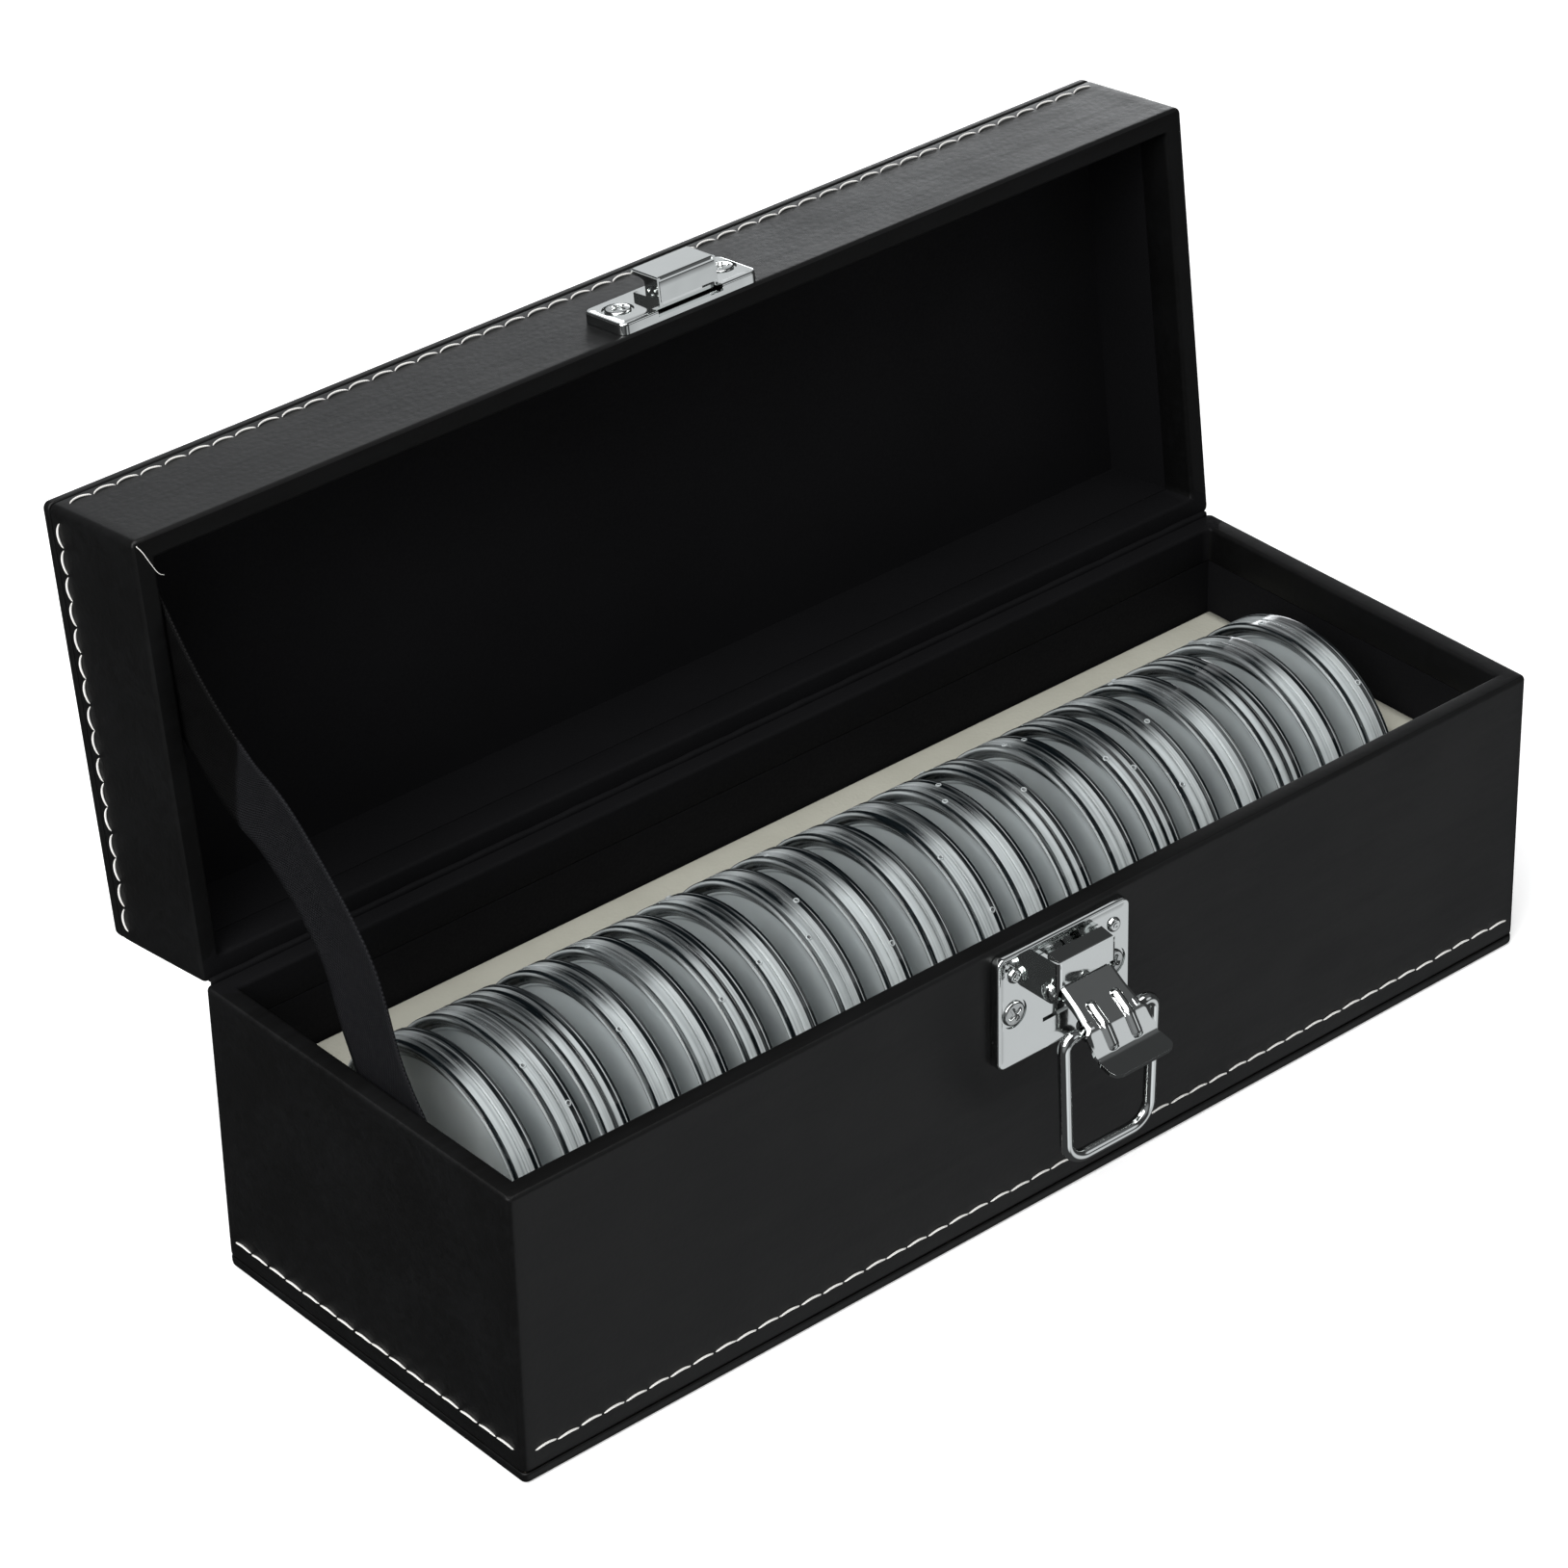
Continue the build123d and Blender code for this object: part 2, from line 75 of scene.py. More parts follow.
# ------------------------ placing
def on_base(p):
    """Base pieces already stand in the case's frame."""
    return np.asarray(p, float)


def on_lid(p):
    """Opens closed-lid points: a turn by LEAN about the hinge line. Heights are measured up from the rim."""
    p = np.asarray(p, float)
    y, z = p[..., 1] - HALF_Y, p[..., 2]
    c, s = math.cos(LEAN), math.sin(LEAN)
    return np.stack([p[..., 0], HALF_Y + y * c + z * s, HINGE_Z - y * s + z * c], axis=-1)


def base_face(p):
    """(across, out, height) on the base's front face."""
    p = np.asarray(p, float)
    return np.stack([LATCH_X + p[..., 0], -HALF_Y - p[..., 1], p[..., 2]], axis=-1)


def lid_face(p):
    """(across, out, height above the rim plane) on the lid's front face."""
    p = np.asarray(p, float)
    return on_lid(np.stack([LATCH_X + p[..., 0], -HALF_Y - p[..., 1], p[..., 2]], axis=-1))


# ------------------------ meshes
def grid_faces(rows, cols, wrap_rows=False, wrap_cols=False):
    """Quads of a rows by cols grid of points, joined end to end where it wraps."""
    r = np.arange(rows if wrap_rows else rows - 1)[:, None]
    c = np.arange(cols if wrap_cols else cols - 1)[None, :]
    r1, c1 = (r + 1) % rows, (c + 1) % cols
    return np.stack([r * cols + c, r * cols + c1, r1 * cols + c1, r1 * cols + c], -1).reshape(-1, 4)


def make(name, points, faces, finish, body=None, replaces=(), uv=None, shade=None,
         others=(), which=None, closed=True, smooth=True):
    """One piece from points in millimetres. Doubles are merged, and a closed shell's faces are turned
    outwards. `which` numbers each face's finish: 0 is `finish`, and the `others` follow from 1."""
    mesh = bpy.data.meshes.new(name)
    points = np.asarray(points, float).reshape(-1, 3) / 1000
    mesh.from_pydata(points.tolist(), [], np.asarray(faces).tolist())
    if uv is not None:
        layer = mesh.uv_layers.new(name="UVMap")
        index = np.empty(len(mesh.loops), np.int32)
        mesh.loops.foreach_get("vertex_index", index)
        layer.data.foreach_set("uv", np.asarray(uv, float).reshape(-1, 2)[index].ravel())
    # painted shade, kept as a point attribute for the finishes to darken their colour with
    if shade is not None:
        layer = mesh.attributes.new("shade", "FLOAT", "POINT")
        layer.data.foreach_set("value", np.asarray(shade, np.float32).ravel())
    for one in (finish, *others):
        mesh.materials.append(one)
    if which is not None:
        mesh.polygons.foreach_set("material_index", np.asarray(which, np.int32))
    bm = bmesh.new()
    bm.from_mesh(mesh)
    bmesh.ops.remove_doubles(bm, verts=bm.verts, dist=2e-6)
    if closed:
        bmesh.ops.recalc_face_normals(bm, faces=bm.faces)
    bm.to_mesh(mesh)
    bm.free()
    mesh.polygons.foreach_set("use_smooth", [smooth] * len(mesh.polygons))
    piece = bpy.data.objects.new(name, mesh)
    bpy.context.scene.collection.objects.link(piece)
    if body:
        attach(piece, body)
    if replaces:
        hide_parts(*replaces)
    return piece


def joined(*parts):
    """Several (points, faces) sets as one, with their faces renumbered."""
    points, faces, start = [], [], 0
    for p, f in parts:
        p = np.asarray(p, float).reshape(-1, 3)
        points.append(p)
        faces += [tuple(int(i) + start for i in q) for q in f]
        start += len(p)
    return np.vstack(points), faces


def sheet_of(grid, thick):
    """A grid of mid-surface points thickened to a closed plate: each point steps half the thickness
    both ways along the surface normal, and the rims of the two skins are joined."""
    g = np.asarray(grid, float)
    n = np.cross(np.gradient(g, axis=1), np.gradient(g, axis=0))
    n /= np.maximum(np.linalg.norm(n, axis=-1, keepdims=True), 1e-9)
    rows, cols = g.shape[:2]
    top, low = g + n * thick / 2, g - n * thick / 2
    f = grid_faces(rows, cols)
    back = f[:, ::-1] + rows * cols
    ring = np.concatenate([
        np.arange(cols), np.arange(1, rows) * cols + cols - 1,
        (rows - 1) * cols + np.arange(cols - 2, -1, -1), np.arange(rows - 2, 0, -1) * cols])
    nxt = np.roll(ring, -1)
    rim = np.stack([nxt, ring, ring + rows * cols, nxt + rows * cols], -1)
    return np.concatenate([top.reshape(-1, 3), low.reshape(-1, 3)]), np.vstack([f, back, rim])


def lathe(profile, steps, about):
    """A profile of (radius, along) turned once round an axis; about(a, b, along) places each point,
    where a and b are the two parts of its radius."""
    profile = np.asarray(profile, float)
    turn = np.linspace(0, 2 * np.pi, steps, endpoint=False)[:, None]
    a, b = profile[:, 0] * np.cos(turn), profile[:, 0] * np.sin(turn)
    along = np.broadcast_to(profile[:, 1], a.shape)
    return about(a, b, along), grid_faces(steps, len(profile), wrap_rows=True)


def tube(path, radius, normal, steps=20):
    """A wire along a flat path: at each point a circle in the plane of the path's normal and the
    sideways vector, with a radius given point by point; its ends close on the path's end points."""
    path = np.asarray(path, float)
    along = np.gradient(path, axis=0)
    along /= np.linalg.norm(along, axis=1, keepdims=True)
    normal = np.asarray(normal, float)
    side = np.cross(along, normal)
    radius = np.broadcast_to(np.asarray(radius, float), len(path)).copy()
    turn = np.linspace(0, 2 * np.pi, steps, endpoint=False)
    ring = np.cos(turn)[None, :, None] * side[:, None] + np.sin(turn)[None, :, None] * normal
    body = path[:, None] + ring * radius[:, None, None]
    ends = np.stack([np.repeat(path[:1], steps, 0), np.repeat(path[-1:], steps, 0)])
    return np.concatenate([ends[:1], body, ends[1:]]), grid_faces(len(path) + 2, steps, wrap_cols=True)


def loop_round(half_x, half_y, corner, inset, side=60, turns=8):
    """Points round a rounded rectangle, set in from its edge by each inset: corners turn on their own
    centres until the inset passes their radius, and are square from there. Returns loop by inset by
    (x, y), and the distance round the loop."""
    inset = np.atleast_1d(np.asarray(inset, float))
    r = np.maximum(corner - inset, 0)
    cx, cy = np.maximum(half_x - inset - r, 0), np.maximum(half_y - inset - r, 0)
    sx, sy = np.array([1, -1, -1, 1]), np.array([1, 1, -1, -1])
    points = []
    for k in range(4):
        ang = np.radians(90 * k + np.linspace(0, 90, turns + 1))[:, None]
        arc = np.stack([sx[k] * cx + r * np.cos(ang), sy[k] * cy + r * np.sin(ang)], -1)
        n = (k + 1) % 4
        a1 = np.radians(90 * n)
        nxt = np.stack([sx[n] * cx + r * np.cos(a1), sy[n] * cy + r * np.sin(a1)], -1)
        t = np.linspace(0, 1, (side if k % 2 == 0 else side // 2) + 1)[1:-1, None, None]
        points += [arc, arc[-1] * (1 - t) + nxt * t]
    loop = np.concatenate(points)
    step = np.linalg.norm(np.diff(loop[:, 0], axis=0, append=loop[:1, 0]), axis=1)
    return loop, np.concatenate([[0], np.cumsum(step)[:-1]])


def swept(across, line):
    """A profile of (out, height) carried straight across the latch: a grid of (across, out, height)."""
    line = np.asarray(line, float)
    return np.stack(np.broadcast_arrays(np.asarray(across, float)[:, None], line[:, 0], line[:, 1]), -1)


def arc_points(cx, cy, r, start, stop, n):
    """n points on a circle's arc between two angles in degrees."""
    a = np.radians(np.linspace(start, stop, n))
    return np.stack([cx + r * np.cos(a), cy + r * np.sin(a)], -1)


def smooth(x, lo, hi):
    """An S-shaped step from 0 at lo to 1 at hi."""
    t = np.clip((x - lo) / (hi - lo), 0, 1)
    return t * t * (3 - 2 * t)


# ------------------------ finishes
class Nodes:
    """Short hand for wiring one material's or one group's nodes."""

    def __init__(self, tree):
        self.tree = tree

    def add(self, kind, **values):
        node = self.tree.nodes.new(kind)
        for key, value in values.items():
            if key in node.bl_rna.properties:
                setattr(node, key, value)
            else:
                self.feed(node, key.replace("_", " "), value)
        return node

    def feed(self, node, socket, value):
        into = node.inputs[socket] if isinstance(socket, (int, str)) else socket
        if isinstance(value, bpy.types.NodeSocket):
            self.tree.links.new(value, into)
        else:
            into.default_value = value

    def math(self, operation, a, b=0.0):
        node = self.add("ShaderNodeMath", operation=operation)
        self.feed(node, 0, a)
        self.feed(node, 1, b)
        return node.outputs[0]

    def ramp(self, value, lo, hi, out_lo=0.0, out_hi=1.0):
        node = self.tree.nodes.new("ShaderNodeMapRange")
        values = {"Value": value, "From Min": lo, "From Max": hi, "To Min": out_lo, "To Max": out_hi}
        for socket, v in values.items():
            self.feed(node, socket, v)
        return node.outputs[0]

    def noise(self, where, scale, detail, **more):
        return self.add("ShaderNodeTexNoise", Vector=where, Scale=scale, Detail=detail, **more).outputs[0]

    def attribute(self, name):
        node = self.tree.nodes.new("ShaderNodeAttribute")
        node.attribute_name = name
        return node.outputs["Fac"]

    def stretched(self, where, scale):
        node = self.add("ShaderNodeMapping", Vector=where)
        node.inputs["Scale"].default_value = scale
        return node.outputs[0]

    def bump(self, shader, height, strength, distance):
        node = self.add("ShaderNodeBump", Strength=strength, Distance=distance, Height=height)
        self.feed(shader, "Normal", node.outputs[0])

    def mix(self, factor, a, b):
        node = self.tree.nodes.new("ShaderNodeMix")
        node.data_type = "RGBA"
        self.feed(node, 0, factor)
        self.feed(node, 6, a)
        self.feed(node, 7, b)
        return node.outputs[2]


def group(name, inputs, outputs):
    """An empty node group with named sockets: itself, its wiring and its two end nodes."""
    g = bpy.data.node_groups.new(name, "ShaderNodeTree")
    for key, (kind, value) in inputs.items():
        s = g.interface.new_socket(key, in_out="INPUT", socket_type=kind)
        if value is not None:
            s.default_value = value
    for key, kind in outputs.items():
        g.interface.new_socket(key, in_out="OUTPUT", socket_type=kind)
    return g, Nodes(g), g.nodes.new("NodeGroupInput"), g.nodes.new("NodeGroupOutput")


def grain_group():
    """Pressed leather grain: small rounded cells, each a low dome between fine creases, broken up by
    two sizes of noise, with faint long drag marks; puts out a height and a mask of the high spots."""
    g, n, i, o = group(
        "pressed_grain",
        {"Vector": ("NodeSocketVector", None), "Cell Scale": ("NodeSocketFloat", 900.0),
         "Drag": ("NodeSocketFloat", 0.3)},
        {"Height": "NodeSocketFloat", "High Spots": "NodeSocketFloat"})
    cells = n.add("ShaderNodeTexVoronoi", feature="SMOOTH_F1", Vector=i.outputs[0], Scale=i.outputs[1])
    fine, broad = n.noise(i.outputs[0], 1500.0, 4.0), n.noise(i.outputs[0], 60.0, 3.0)
    drag = n.noise(n.stretched(i.outputs[0], (14, 220, 220)), 2.6, 5.0, Roughness=0.65)
    height = n.math("MULTIPLY", cells.outputs["Distance"], 0.5)
    for layer, share in ((fine, 0.35), (broad, 0.5), (drag, i.outputs[2])):
        height = n.math("ADD", height, n.math("MULTIPLY", layer, share))
    n.feed(o, 0, height)
    n.feed(o, 1, n.ramp(n.math("ADD", broad, drag), 0.85, 1.25))
    return g


def material(name):
    """A new material: itself, its wiring, its shader and the place on the object."""
    m = bpy.data.materials.new(name)
    m.use_nodes = True
    m.node_tree.nodes.clear()
    n = Nodes(m.node_tree)
    shader = n.add("ShaderNodeBsdfPrincipled")
    out = n.add("ShaderNodeOutputMaterial")
    m.node_tree.links.new(shader.outputs[0], out.inputs[0])
    where = n.add("ShaderNodeTexCoord").outputs["Object"]
    return m, n, shader, where


GRAIN = grain_group()


def leather(name, tone, rough, gloss, cell=900.0, drag=0.3, strength=0.25):
    """Black leatherette: nearly even dark colour, gloss that changes with the grain, and a fine bump."""
    m, n, s, where = material(name)
    g = n.add("ShaderNodeGroup")
    g.node_tree = GRAIN
    n.feed(g, "Vector", where)
    n.feed(g, "Cell Scale", cell)
    n.feed(g, "Drag", drag)
    low, high = (*[tone * 0.8] * 3, 1), (tone * 1.2, tone * 1.25, tone * 1.32, 1)
    n.feed(s, "Base Color", n.mix(g.outputs[1], low, high))
    n.feed(s, "Roughness", n.ramp(g.outputs[1], 0, 1, rough - 0.04, rough + 0.05))
    n.feed(s, "Specular IOR Level", gloss)
    n.bump(s, g.outputs[0], strength, 0.00012)
    return m


def lining_finish():
    """Matt black lining paper."""
    m, n, s, where = material("lining_paper")
    fine, broad = n.noise(where, 1800.0, 5.0), n.noise(where, 40.0, 2.0)
    n.feed(s, "Base Color", n.mix(broad, (0.0045, 0.0045, 0.005, 1), (0.0065, 0.0065, 0.0072, 1)))
    n.feed(s, "Roughness", n.ramp(fine, 0.3, 0.7, 0.62, 0.85))
    n.feed(s, "Specular IOR Level", 0.06)
    n.bump(s, fine, 0.3, 0.0001)
    return m


def foam_finish():
    """Cream foam with open cells."""
    m, n, s, where = material("cream_foam")
    cells = n.add("ShaderNodeTexVoronoi", Vector=where, Scale=1400.0)
    broad = n.noise(where, 90.0, 4.0)
    n.feed(s, "Base Color", n.mix(broad, (0.36, 0.355, 0.30, 1), (0.44, 0.435, 0.375, 1)))
    n.feed(s, "Roughness", n.ramp(broad, 0.3, 0.7, 0.75, 0.95))
    n.feed(s, "Specular IOR Level", 0.2)
    n.bump(s, cells.outputs[0], 0.35, 0.00015)
    return m


def chrome_finish(name, tone, rough):
    """Bright plating over pressed steel: even colour, faint haze and very shallow waves left by the press."""
    m, n, s, where = material(name)
    haze, wave = n.noise(where, 350.0, 5.0), n.noise(where, 180.0, 1.0)
    low, high = (tone * 0.92, tone * 0.95, tone * 0.94, 1), (tone * 0.97, tone, tone * 0.99, 1)
    n.feed(s, "Base Color", n.mix(haze, low, high))
    n.feed(s, "Metallic", 1.0)
    n.feed(s, "Roughness", n.ramp(haze, 0.3, 0.75, rough, rough + 0.06))
    n.bump(s, wave, 0.15, 0.0002)
    return m


def clear_finish():
    """Clear moulded plastic: faintly grey, with hairline haze; its colour carries painted shade, dark at its
    folds and grooves where the light would be sent sideways, broken by thin painted lines of light and shade;
    the piece's own shade attribute says how much."""
    m, n, s, where = material("clear_plastic")
    haze = n.noise(where, 260.0, 6.0)
    # thin painted lines of light and shade, long round the rims and narrow across them
    painted_streak = n.noise(n.stretched(where, (1500, 45, 45)), 1.0, 3.0)
    # painted shade: the piece's shade attribute and the painted lines darken the colour towards near black
    dark = n.math("ADD", n.attribute("shade"), n.ramp(painted_streak, 0.3, 0.7, -0.22, 0.22))
    n.feed(s, "Base Color", n.mix(dark, (0.86, 0.92, 0.93, 1), (0.006, 0.009, 0.011, 1)))
    n.feed(s, "Roughness", n.ramp(haze, 0.45, 0.8, 0.05, 0.16))
    n.feed(s, "IOR", 1.49)
    n.feed(s, "Transmission Weight", 0.48)
    return m


def ribbon_finish():
    """Plain woven ribbon: warp and weft bands from the piece's own length and width, raised where each
    thread is on top, and darkened by the piece's painted shade past a slanting line, where the real strap
    folds away from the light."""
    m, n, s, where = material("strap_weave")
    uv = n.add("ShaderNodeUVMap", uv_map="UVMap").outputs[0]
    split = n.add("ShaderNodeSeparateXYZ", Vector=uv)
    warp_pitch, weft_pitch = 0.62, 0.7
    warp = n.math("SINE", n.math("MULTIPLY", split.outputs[0], math.pi * 2 / warp_pitch))
    weft = n.math("SINE", n.math("MULTIPLY", split.outputs[1], math.pi * 2 / weft_pitch))
    over = n.math("MULTIPLY", warp, weft)
    weave = n.mix(n.ramp(over, -1, 1), (0.001, 0.001, 0.0015, 1), (0.013, 0.0135, 0.016, 1))
    # painted shade: past the slanting line the weave is mixed to nearly black
    n.feed(s, "Base Color", n.mix(n.attribute("shade"), weave, (0.0006, 0.0006, 0.0007, 1)))
    n.feed(s, "Roughness", n.ramp(n.noise(where, 500.0, 4.0), 0.3, 0.7, 0.5, 0.75))
    n.feed(s, "Specular IOR Level", 0.16)
    n.bump(s, over, 0.6, 0.0002)
    return m


def thread_finish(name, colour):
    """Sewing thread with its twist."""
    m, n, s, where = material(name)
    twist = n.add("ShaderNodeTexWave", Vector=where, Scale=900.0, Distortion=3.0).outputs[1]
    n.feed(s, "Base Color", n.mix(twist, (*[c * 0.8 for c in colour], 1), (*colour, 1)))
    n.feed(s, "Roughness", n.ramp(twist, 0, 1, 0.55, 0.8))
    n.bump(s, twist, 0.4, 0.00005)
    return m


def board_finish():
    """Pressed fibre board, under the covers."""
    m, n, s, where = material("pressed_board")
    fibre = n.noise(where, 700.0, 6.0)
    n.feed(s, "Base Color", n.mix(fibre, (0.17, 0.14, 0.1, 1), (0.3, 0.25, 0.19, 1)))
    n.feed(s, "Roughness", n.ramp(fibre, 0, 1, 0.8, 0.95))
    return m


WALL_LEATHER = leather("wall_leatherette", 0.0042, 0.43, 0.28, drag=0.5, strength=0.42)
RIM_LEATHER = leather("rolled_leatherette", 0.0032, 0.55, 0.12, drag=0.5, strength=0.4)
LINING, FOAM, BOARD = lining_finish(), foam_finish(), board_finish()
CHROME = chrome_finish("bright_chrome", 0.84, 0.03)
SCREW_CHROME = chrome_finish("screw_chrome", 0.6, 0.12)
CLEAR, RIBBON = clear_finish(), ribbon_finish()
THREAD = thread_finish("cream_thread", (0.86, 0.85, 0.82))

# what each solid is made of, by a word in its name
MADE_OF = {"_board": BOARD, "lining": LINING, "cover": WALL_LEATHER, "hinge_strip": WALL_LEATHER,
           "capsule": CLEAR, "foam": FOAM, "lid_strap": RIBBON}
for node_name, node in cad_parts.items():
    node.data.materials.clear()
    node.data.materials.append(next((MADE_OF[word] for word in MADE_OF if word in node_name), CHROME))


# ------------------------ box skins
def wall_skin(name, place, height, body, node):
    """Leatherette round four walls, over the rim and down inside it: one closed profile of inset and
    height, carried round the box. It is let in along the hinge side for the hinge strip, and rises and
    falls by a few hundredths of a millimetre as the board below it does. What is rolled over the rim
    has its own finish, and so has the part behind the hinge strip."""
    rim, r = height - 0.2, 0.75
    turn_in = 7.0
    profile = np.vstack([
        [[0.7, 2.3], [0.35, 2.3]], arc_points(0.55, 2.85, 0.55, 240, 180, 4),
        np.stack([np.zeros(9), np.linspace(4.0, rim - r - 0.4, 9)], -1),
        arc_points(r, rim - r, r, 180, 90, 6), [[WALL / 2, rim + 0.02]],
        arc_points(WALL - r, rim - r, r, 90, 0, 6), [[WALL, rim - turn_in / 2], [WALL, rim - turn_in + 0.2]],
        arc_points(WALL - 0.2, rim - turn_in + 0.2, 0.2, 0, -90, 3),
        [[WALL - COVER, rim - turn_in], [WALL - COVER, rim - COVER], [COVER, rim - COVER]]])
    loop, around = loop_round(HALF_X, HALF_Y, CORNER, profile[:, 0], 120, 6)
    level = np.broadcast_to(profile[:, 1], loop.shape[:2])
    xy = loop.copy()
    outer = (profile[:, 0] < 0.5) & (profile[:, 1] > 3.2)
    wave = (np.sin(around / 17.0 + 1.3) + np.sin(around / 7.3) * 0.6)[:, None]
    wave = wave * np.sin(level / 9.0 + 0.5)
    out = np.sign(loop[:, :1]) * (np.abs(loop[:, :1]) > [[HALF_X - 1, HALF_Y - 1]])
    xy = xy + out * (wave * 0.035 * outer)[..., None]
    behind = smooth(loop[..., 1], HALF_Y - 0.3, HALF_Y - 0.1)
    behind = behind * smooth(-np.abs(loop[..., 0]), -HALF_X + 1.1, -HALF_X + 1.3)
    let_in = behind * smooth(level, rim - 6.15, rim - 5.9) * (profile[:, 0] < COVER - 0.01)
    xy[..., 1] = np.where(let_in > 0, np.minimum(xy[..., 1], HALF_Y - COVER * let_in), xy[..., 1])
    points = np.concatenate([xy, level[..., None]], -1)
    if place is on_lid:
        points[..., 2] = LID_H - points[..., 2]
    faces = grid_faces(*points.shape[:2], wrap_rows=True, wrap_cols=True)
    centre = points.reshape(-1, 3)[faces].mean(axis=1)
    inset = np.minimum(HALF_X - np.abs(centre[:, 0]), HALF_Y - np.abs(centre[:, 1]))
    rim_level = rim if place is on_base else LID_H - rim
    by_hinge = (centre[:, 1] > HALF_Y - 0.8) & (np.abs(centre[:, 2] - rim_level) < turn_in)
    inner = inset > 0.45
    rolled = inner | by_hinge
    hidden = inner & (centre[:, 1] > HALF_Y - 4.5)
    return make(name, place(points), faces, WALL_LEATHER, body, [node],
                others=(RIM_LEATHER, LINING), which=rolled.astype(int) + hidden)


def panel_skin(name, place, body, node):
    """Leatherette pan over the bottom or top panel: a closed profile from the middle out over a soft
    edge and back under, carried round the box, with the hinge-side edge rounder than the others."""
    profile = np.vstack([
        [[HALF_Y, 0.0], [30.0, 0.0], [20.0, 0.0], [10.0, 0.0], [4.0, 0.0]],
        arc_points(1.0, 1.0, 1.0, 270, 180, 7), arc_points(0.3, 1.8, 0.3, 180, 90, 4),
        [[COVER, 2.1], [COVER, COVER], [20.0, COVER], [HALF_Y, COVER]]])
    loop, _ = loop_round(HALF_X, HALF_Y, CORNER, profile[:, 0], 120, 6)
    level = np.broadcast_to(profile[:, 1], loop.shape[:2])
    xy = loop.copy()
    edge = 1.2
    rear = smooth(loop[..., 1], HALF_Y - 2.0, HALF_Y) * (level < edge)
    xy[..., 1] -= 0.55 * rear * (edge - level) / edge
    points = np.concatenate([xy, level[..., None]], -1)
    if place is on_lid:
        points[..., 2] = LID_H - points[..., 2]
    faces = grid_faces(*points.shape[:2], wrap_rows=True)
    return make(name, place(points), faces, WALL_LEATHER, body, [node])


wall_skin("base_wall_leather", on_base, HINGE_Z, "base", "base_cover")
wall_skin("lid_wall_leather", on_lid, LID_H, "lid", "lid_cover")
panel_skin("base_bottom_leather", on_base, "base", "base_bottom_cover")
panel_skin("lid_top_leather", on_lid, "lid", "lid_top_cover")


def seam_stitches(name, place, height, body, arch, pitch=4.7):
    """Lock stitches round the box: each is a thread that leaves its hole, bows up or down by `arch` as
    it runs along the wall, and dips into the next hole, so a row reads as shallow scallops."""
    thick, around = 0.175, 8
    t = np.linspace(0, 1, 11)
    turn = np.linspace(0, 2 * np.pi, around, endpoint=False)[None, :, None]
    parts = []
    sides = [((-HALF_X, -HALF_Y), (1, 0), 2 * HALF_X), ((HALF_X, -HALF_Y), (0, 1), 2 * HALF_Y),
             ((HALF_X, HALF_Y), (-1, 0), 2 * HALF_X), ((-HALF_X, HALF_Y), (0, -1), 2 * HALF_Y)]
    for (x0, y0), (dx, dy), length in sides:
        count = int((length - 0.8) / pitch)
        first = (length - count * pitch) / 2
        for k in range(count):
            wob = rng.normal(0, 0.09, 3)
            along = first + (k + 0.01 + 0.99 * t) * pitch + wob[0]
            up = height + arch * (np.sin(np.pi * (0.06 + 0.86 * t)) ** 0.8 - 0.6) + wob[1] * 0.7
            out = -0.12 + 0.34 * np.sin(np.pi * t) ** 0.35 + wob[2] * 0.2
            centre = np.stack([x0 + dx * along + dy * out, y0 + dy * along - dx * out, up], -1)
            r = thick * np.clip(np.sin(np.pi * t), 0.0, 1) ** 0.3 + 0.02
            circle = np.cos(turn) * np.array([dy, -dx, 0]) + np.sin(turn) * np.array([0, 0, 1])
            ring = centre[:, None] + r[:, None, None] * circle
            parts.append((ring, grid_faces(len(t), around, wrap_cols=True)))
    points, faces = joined(*parts)
    if place is on_lid:
        points[:, 2] = LID_H - points[:, 2]
    return make(name, place(points), faces, THREAD, body)


seam_stitches("base_stitching", on_base, 6.2, "base", 0.75)
seam_stitches("lid_stitching", on_lid, 4.6, "lid", -1.1)


# ------------------------ foam tray
def foam_tray():
    """Foam block with a round-bottomed trough: its closed cross section is carried along the case;
    towards each end of the trough the section goes over to a plain block's at one station, which makes
    the trough's flat end wall. The top edges are eased."""
    top, r, w, low = 39.3, 26.0, 35.7, 4.2
    ease = 0.8
    trough = np.vstack([
        [[-w, low + 4], [-w, top - ease]], arc_points(-w + ease, top - ease, ease, 180, 90, 5)[1:],
        [[-30.0, top]], arc_points(-r - ease, top - ease, ease, 90, 0, 5), [[-r, CAPSULE_Z + 3]],
        arc_points(0.0, CAPSULE_Z, r, 180, 360, 61), [[r, CAPSULE_Z + 3]],
        arc_points(r + ease, top - ease, ease, 180, 90, 5), [[30.0, top]],
        arc_points(w - ease, top - ease, ease, 90, 0, 5)[:-1],
        [[w, top - ease], [w, low + 4], [w, low], [-w, low]]])
    n = len(trough)
    inside = (np.abs(trough[:, 0]) < r + ease - 1e-6) & (np.arange(n) < n - 2)
    flat = trough.copy()
    flat[inside, 1] = top
    end = [(-110.7, 0.0), (-109.0, 0.0), (-105.8, 0.0), (-105.25, 0.03), (-105.03, 0.14), (-105.0, 0.3),
           (-105.0, 1.0)]
    stations = end + [(x, 1.0) for x in np.linspace(-100, 100, 21)] + [(-x, share) for x, share in end[::-1]]
    x, share = np.array(stations).T[:, :, None]
    yz = flat * (1 - share[..., None]) + trough * share[..., None]
    rows = np.concatenate([np.broadcast_to(x[..., None], (len(x), n, 1)), yz], -1)
    centre = rows.mean(axis=1, keepdims=True) * [1, 0, 0] + [0, 0, low]
    capped = np.concatenate([np.repeat(centre[:1], n, 1), rows, np.repeat(centre[-1:], n, 1)])
    faces = grid_faces(*capped.shape[:2], wrap_cols=True)
    return make("foam_tray", capped, faces, FOAM, "base", ["foam_insert"])


foam_tray()


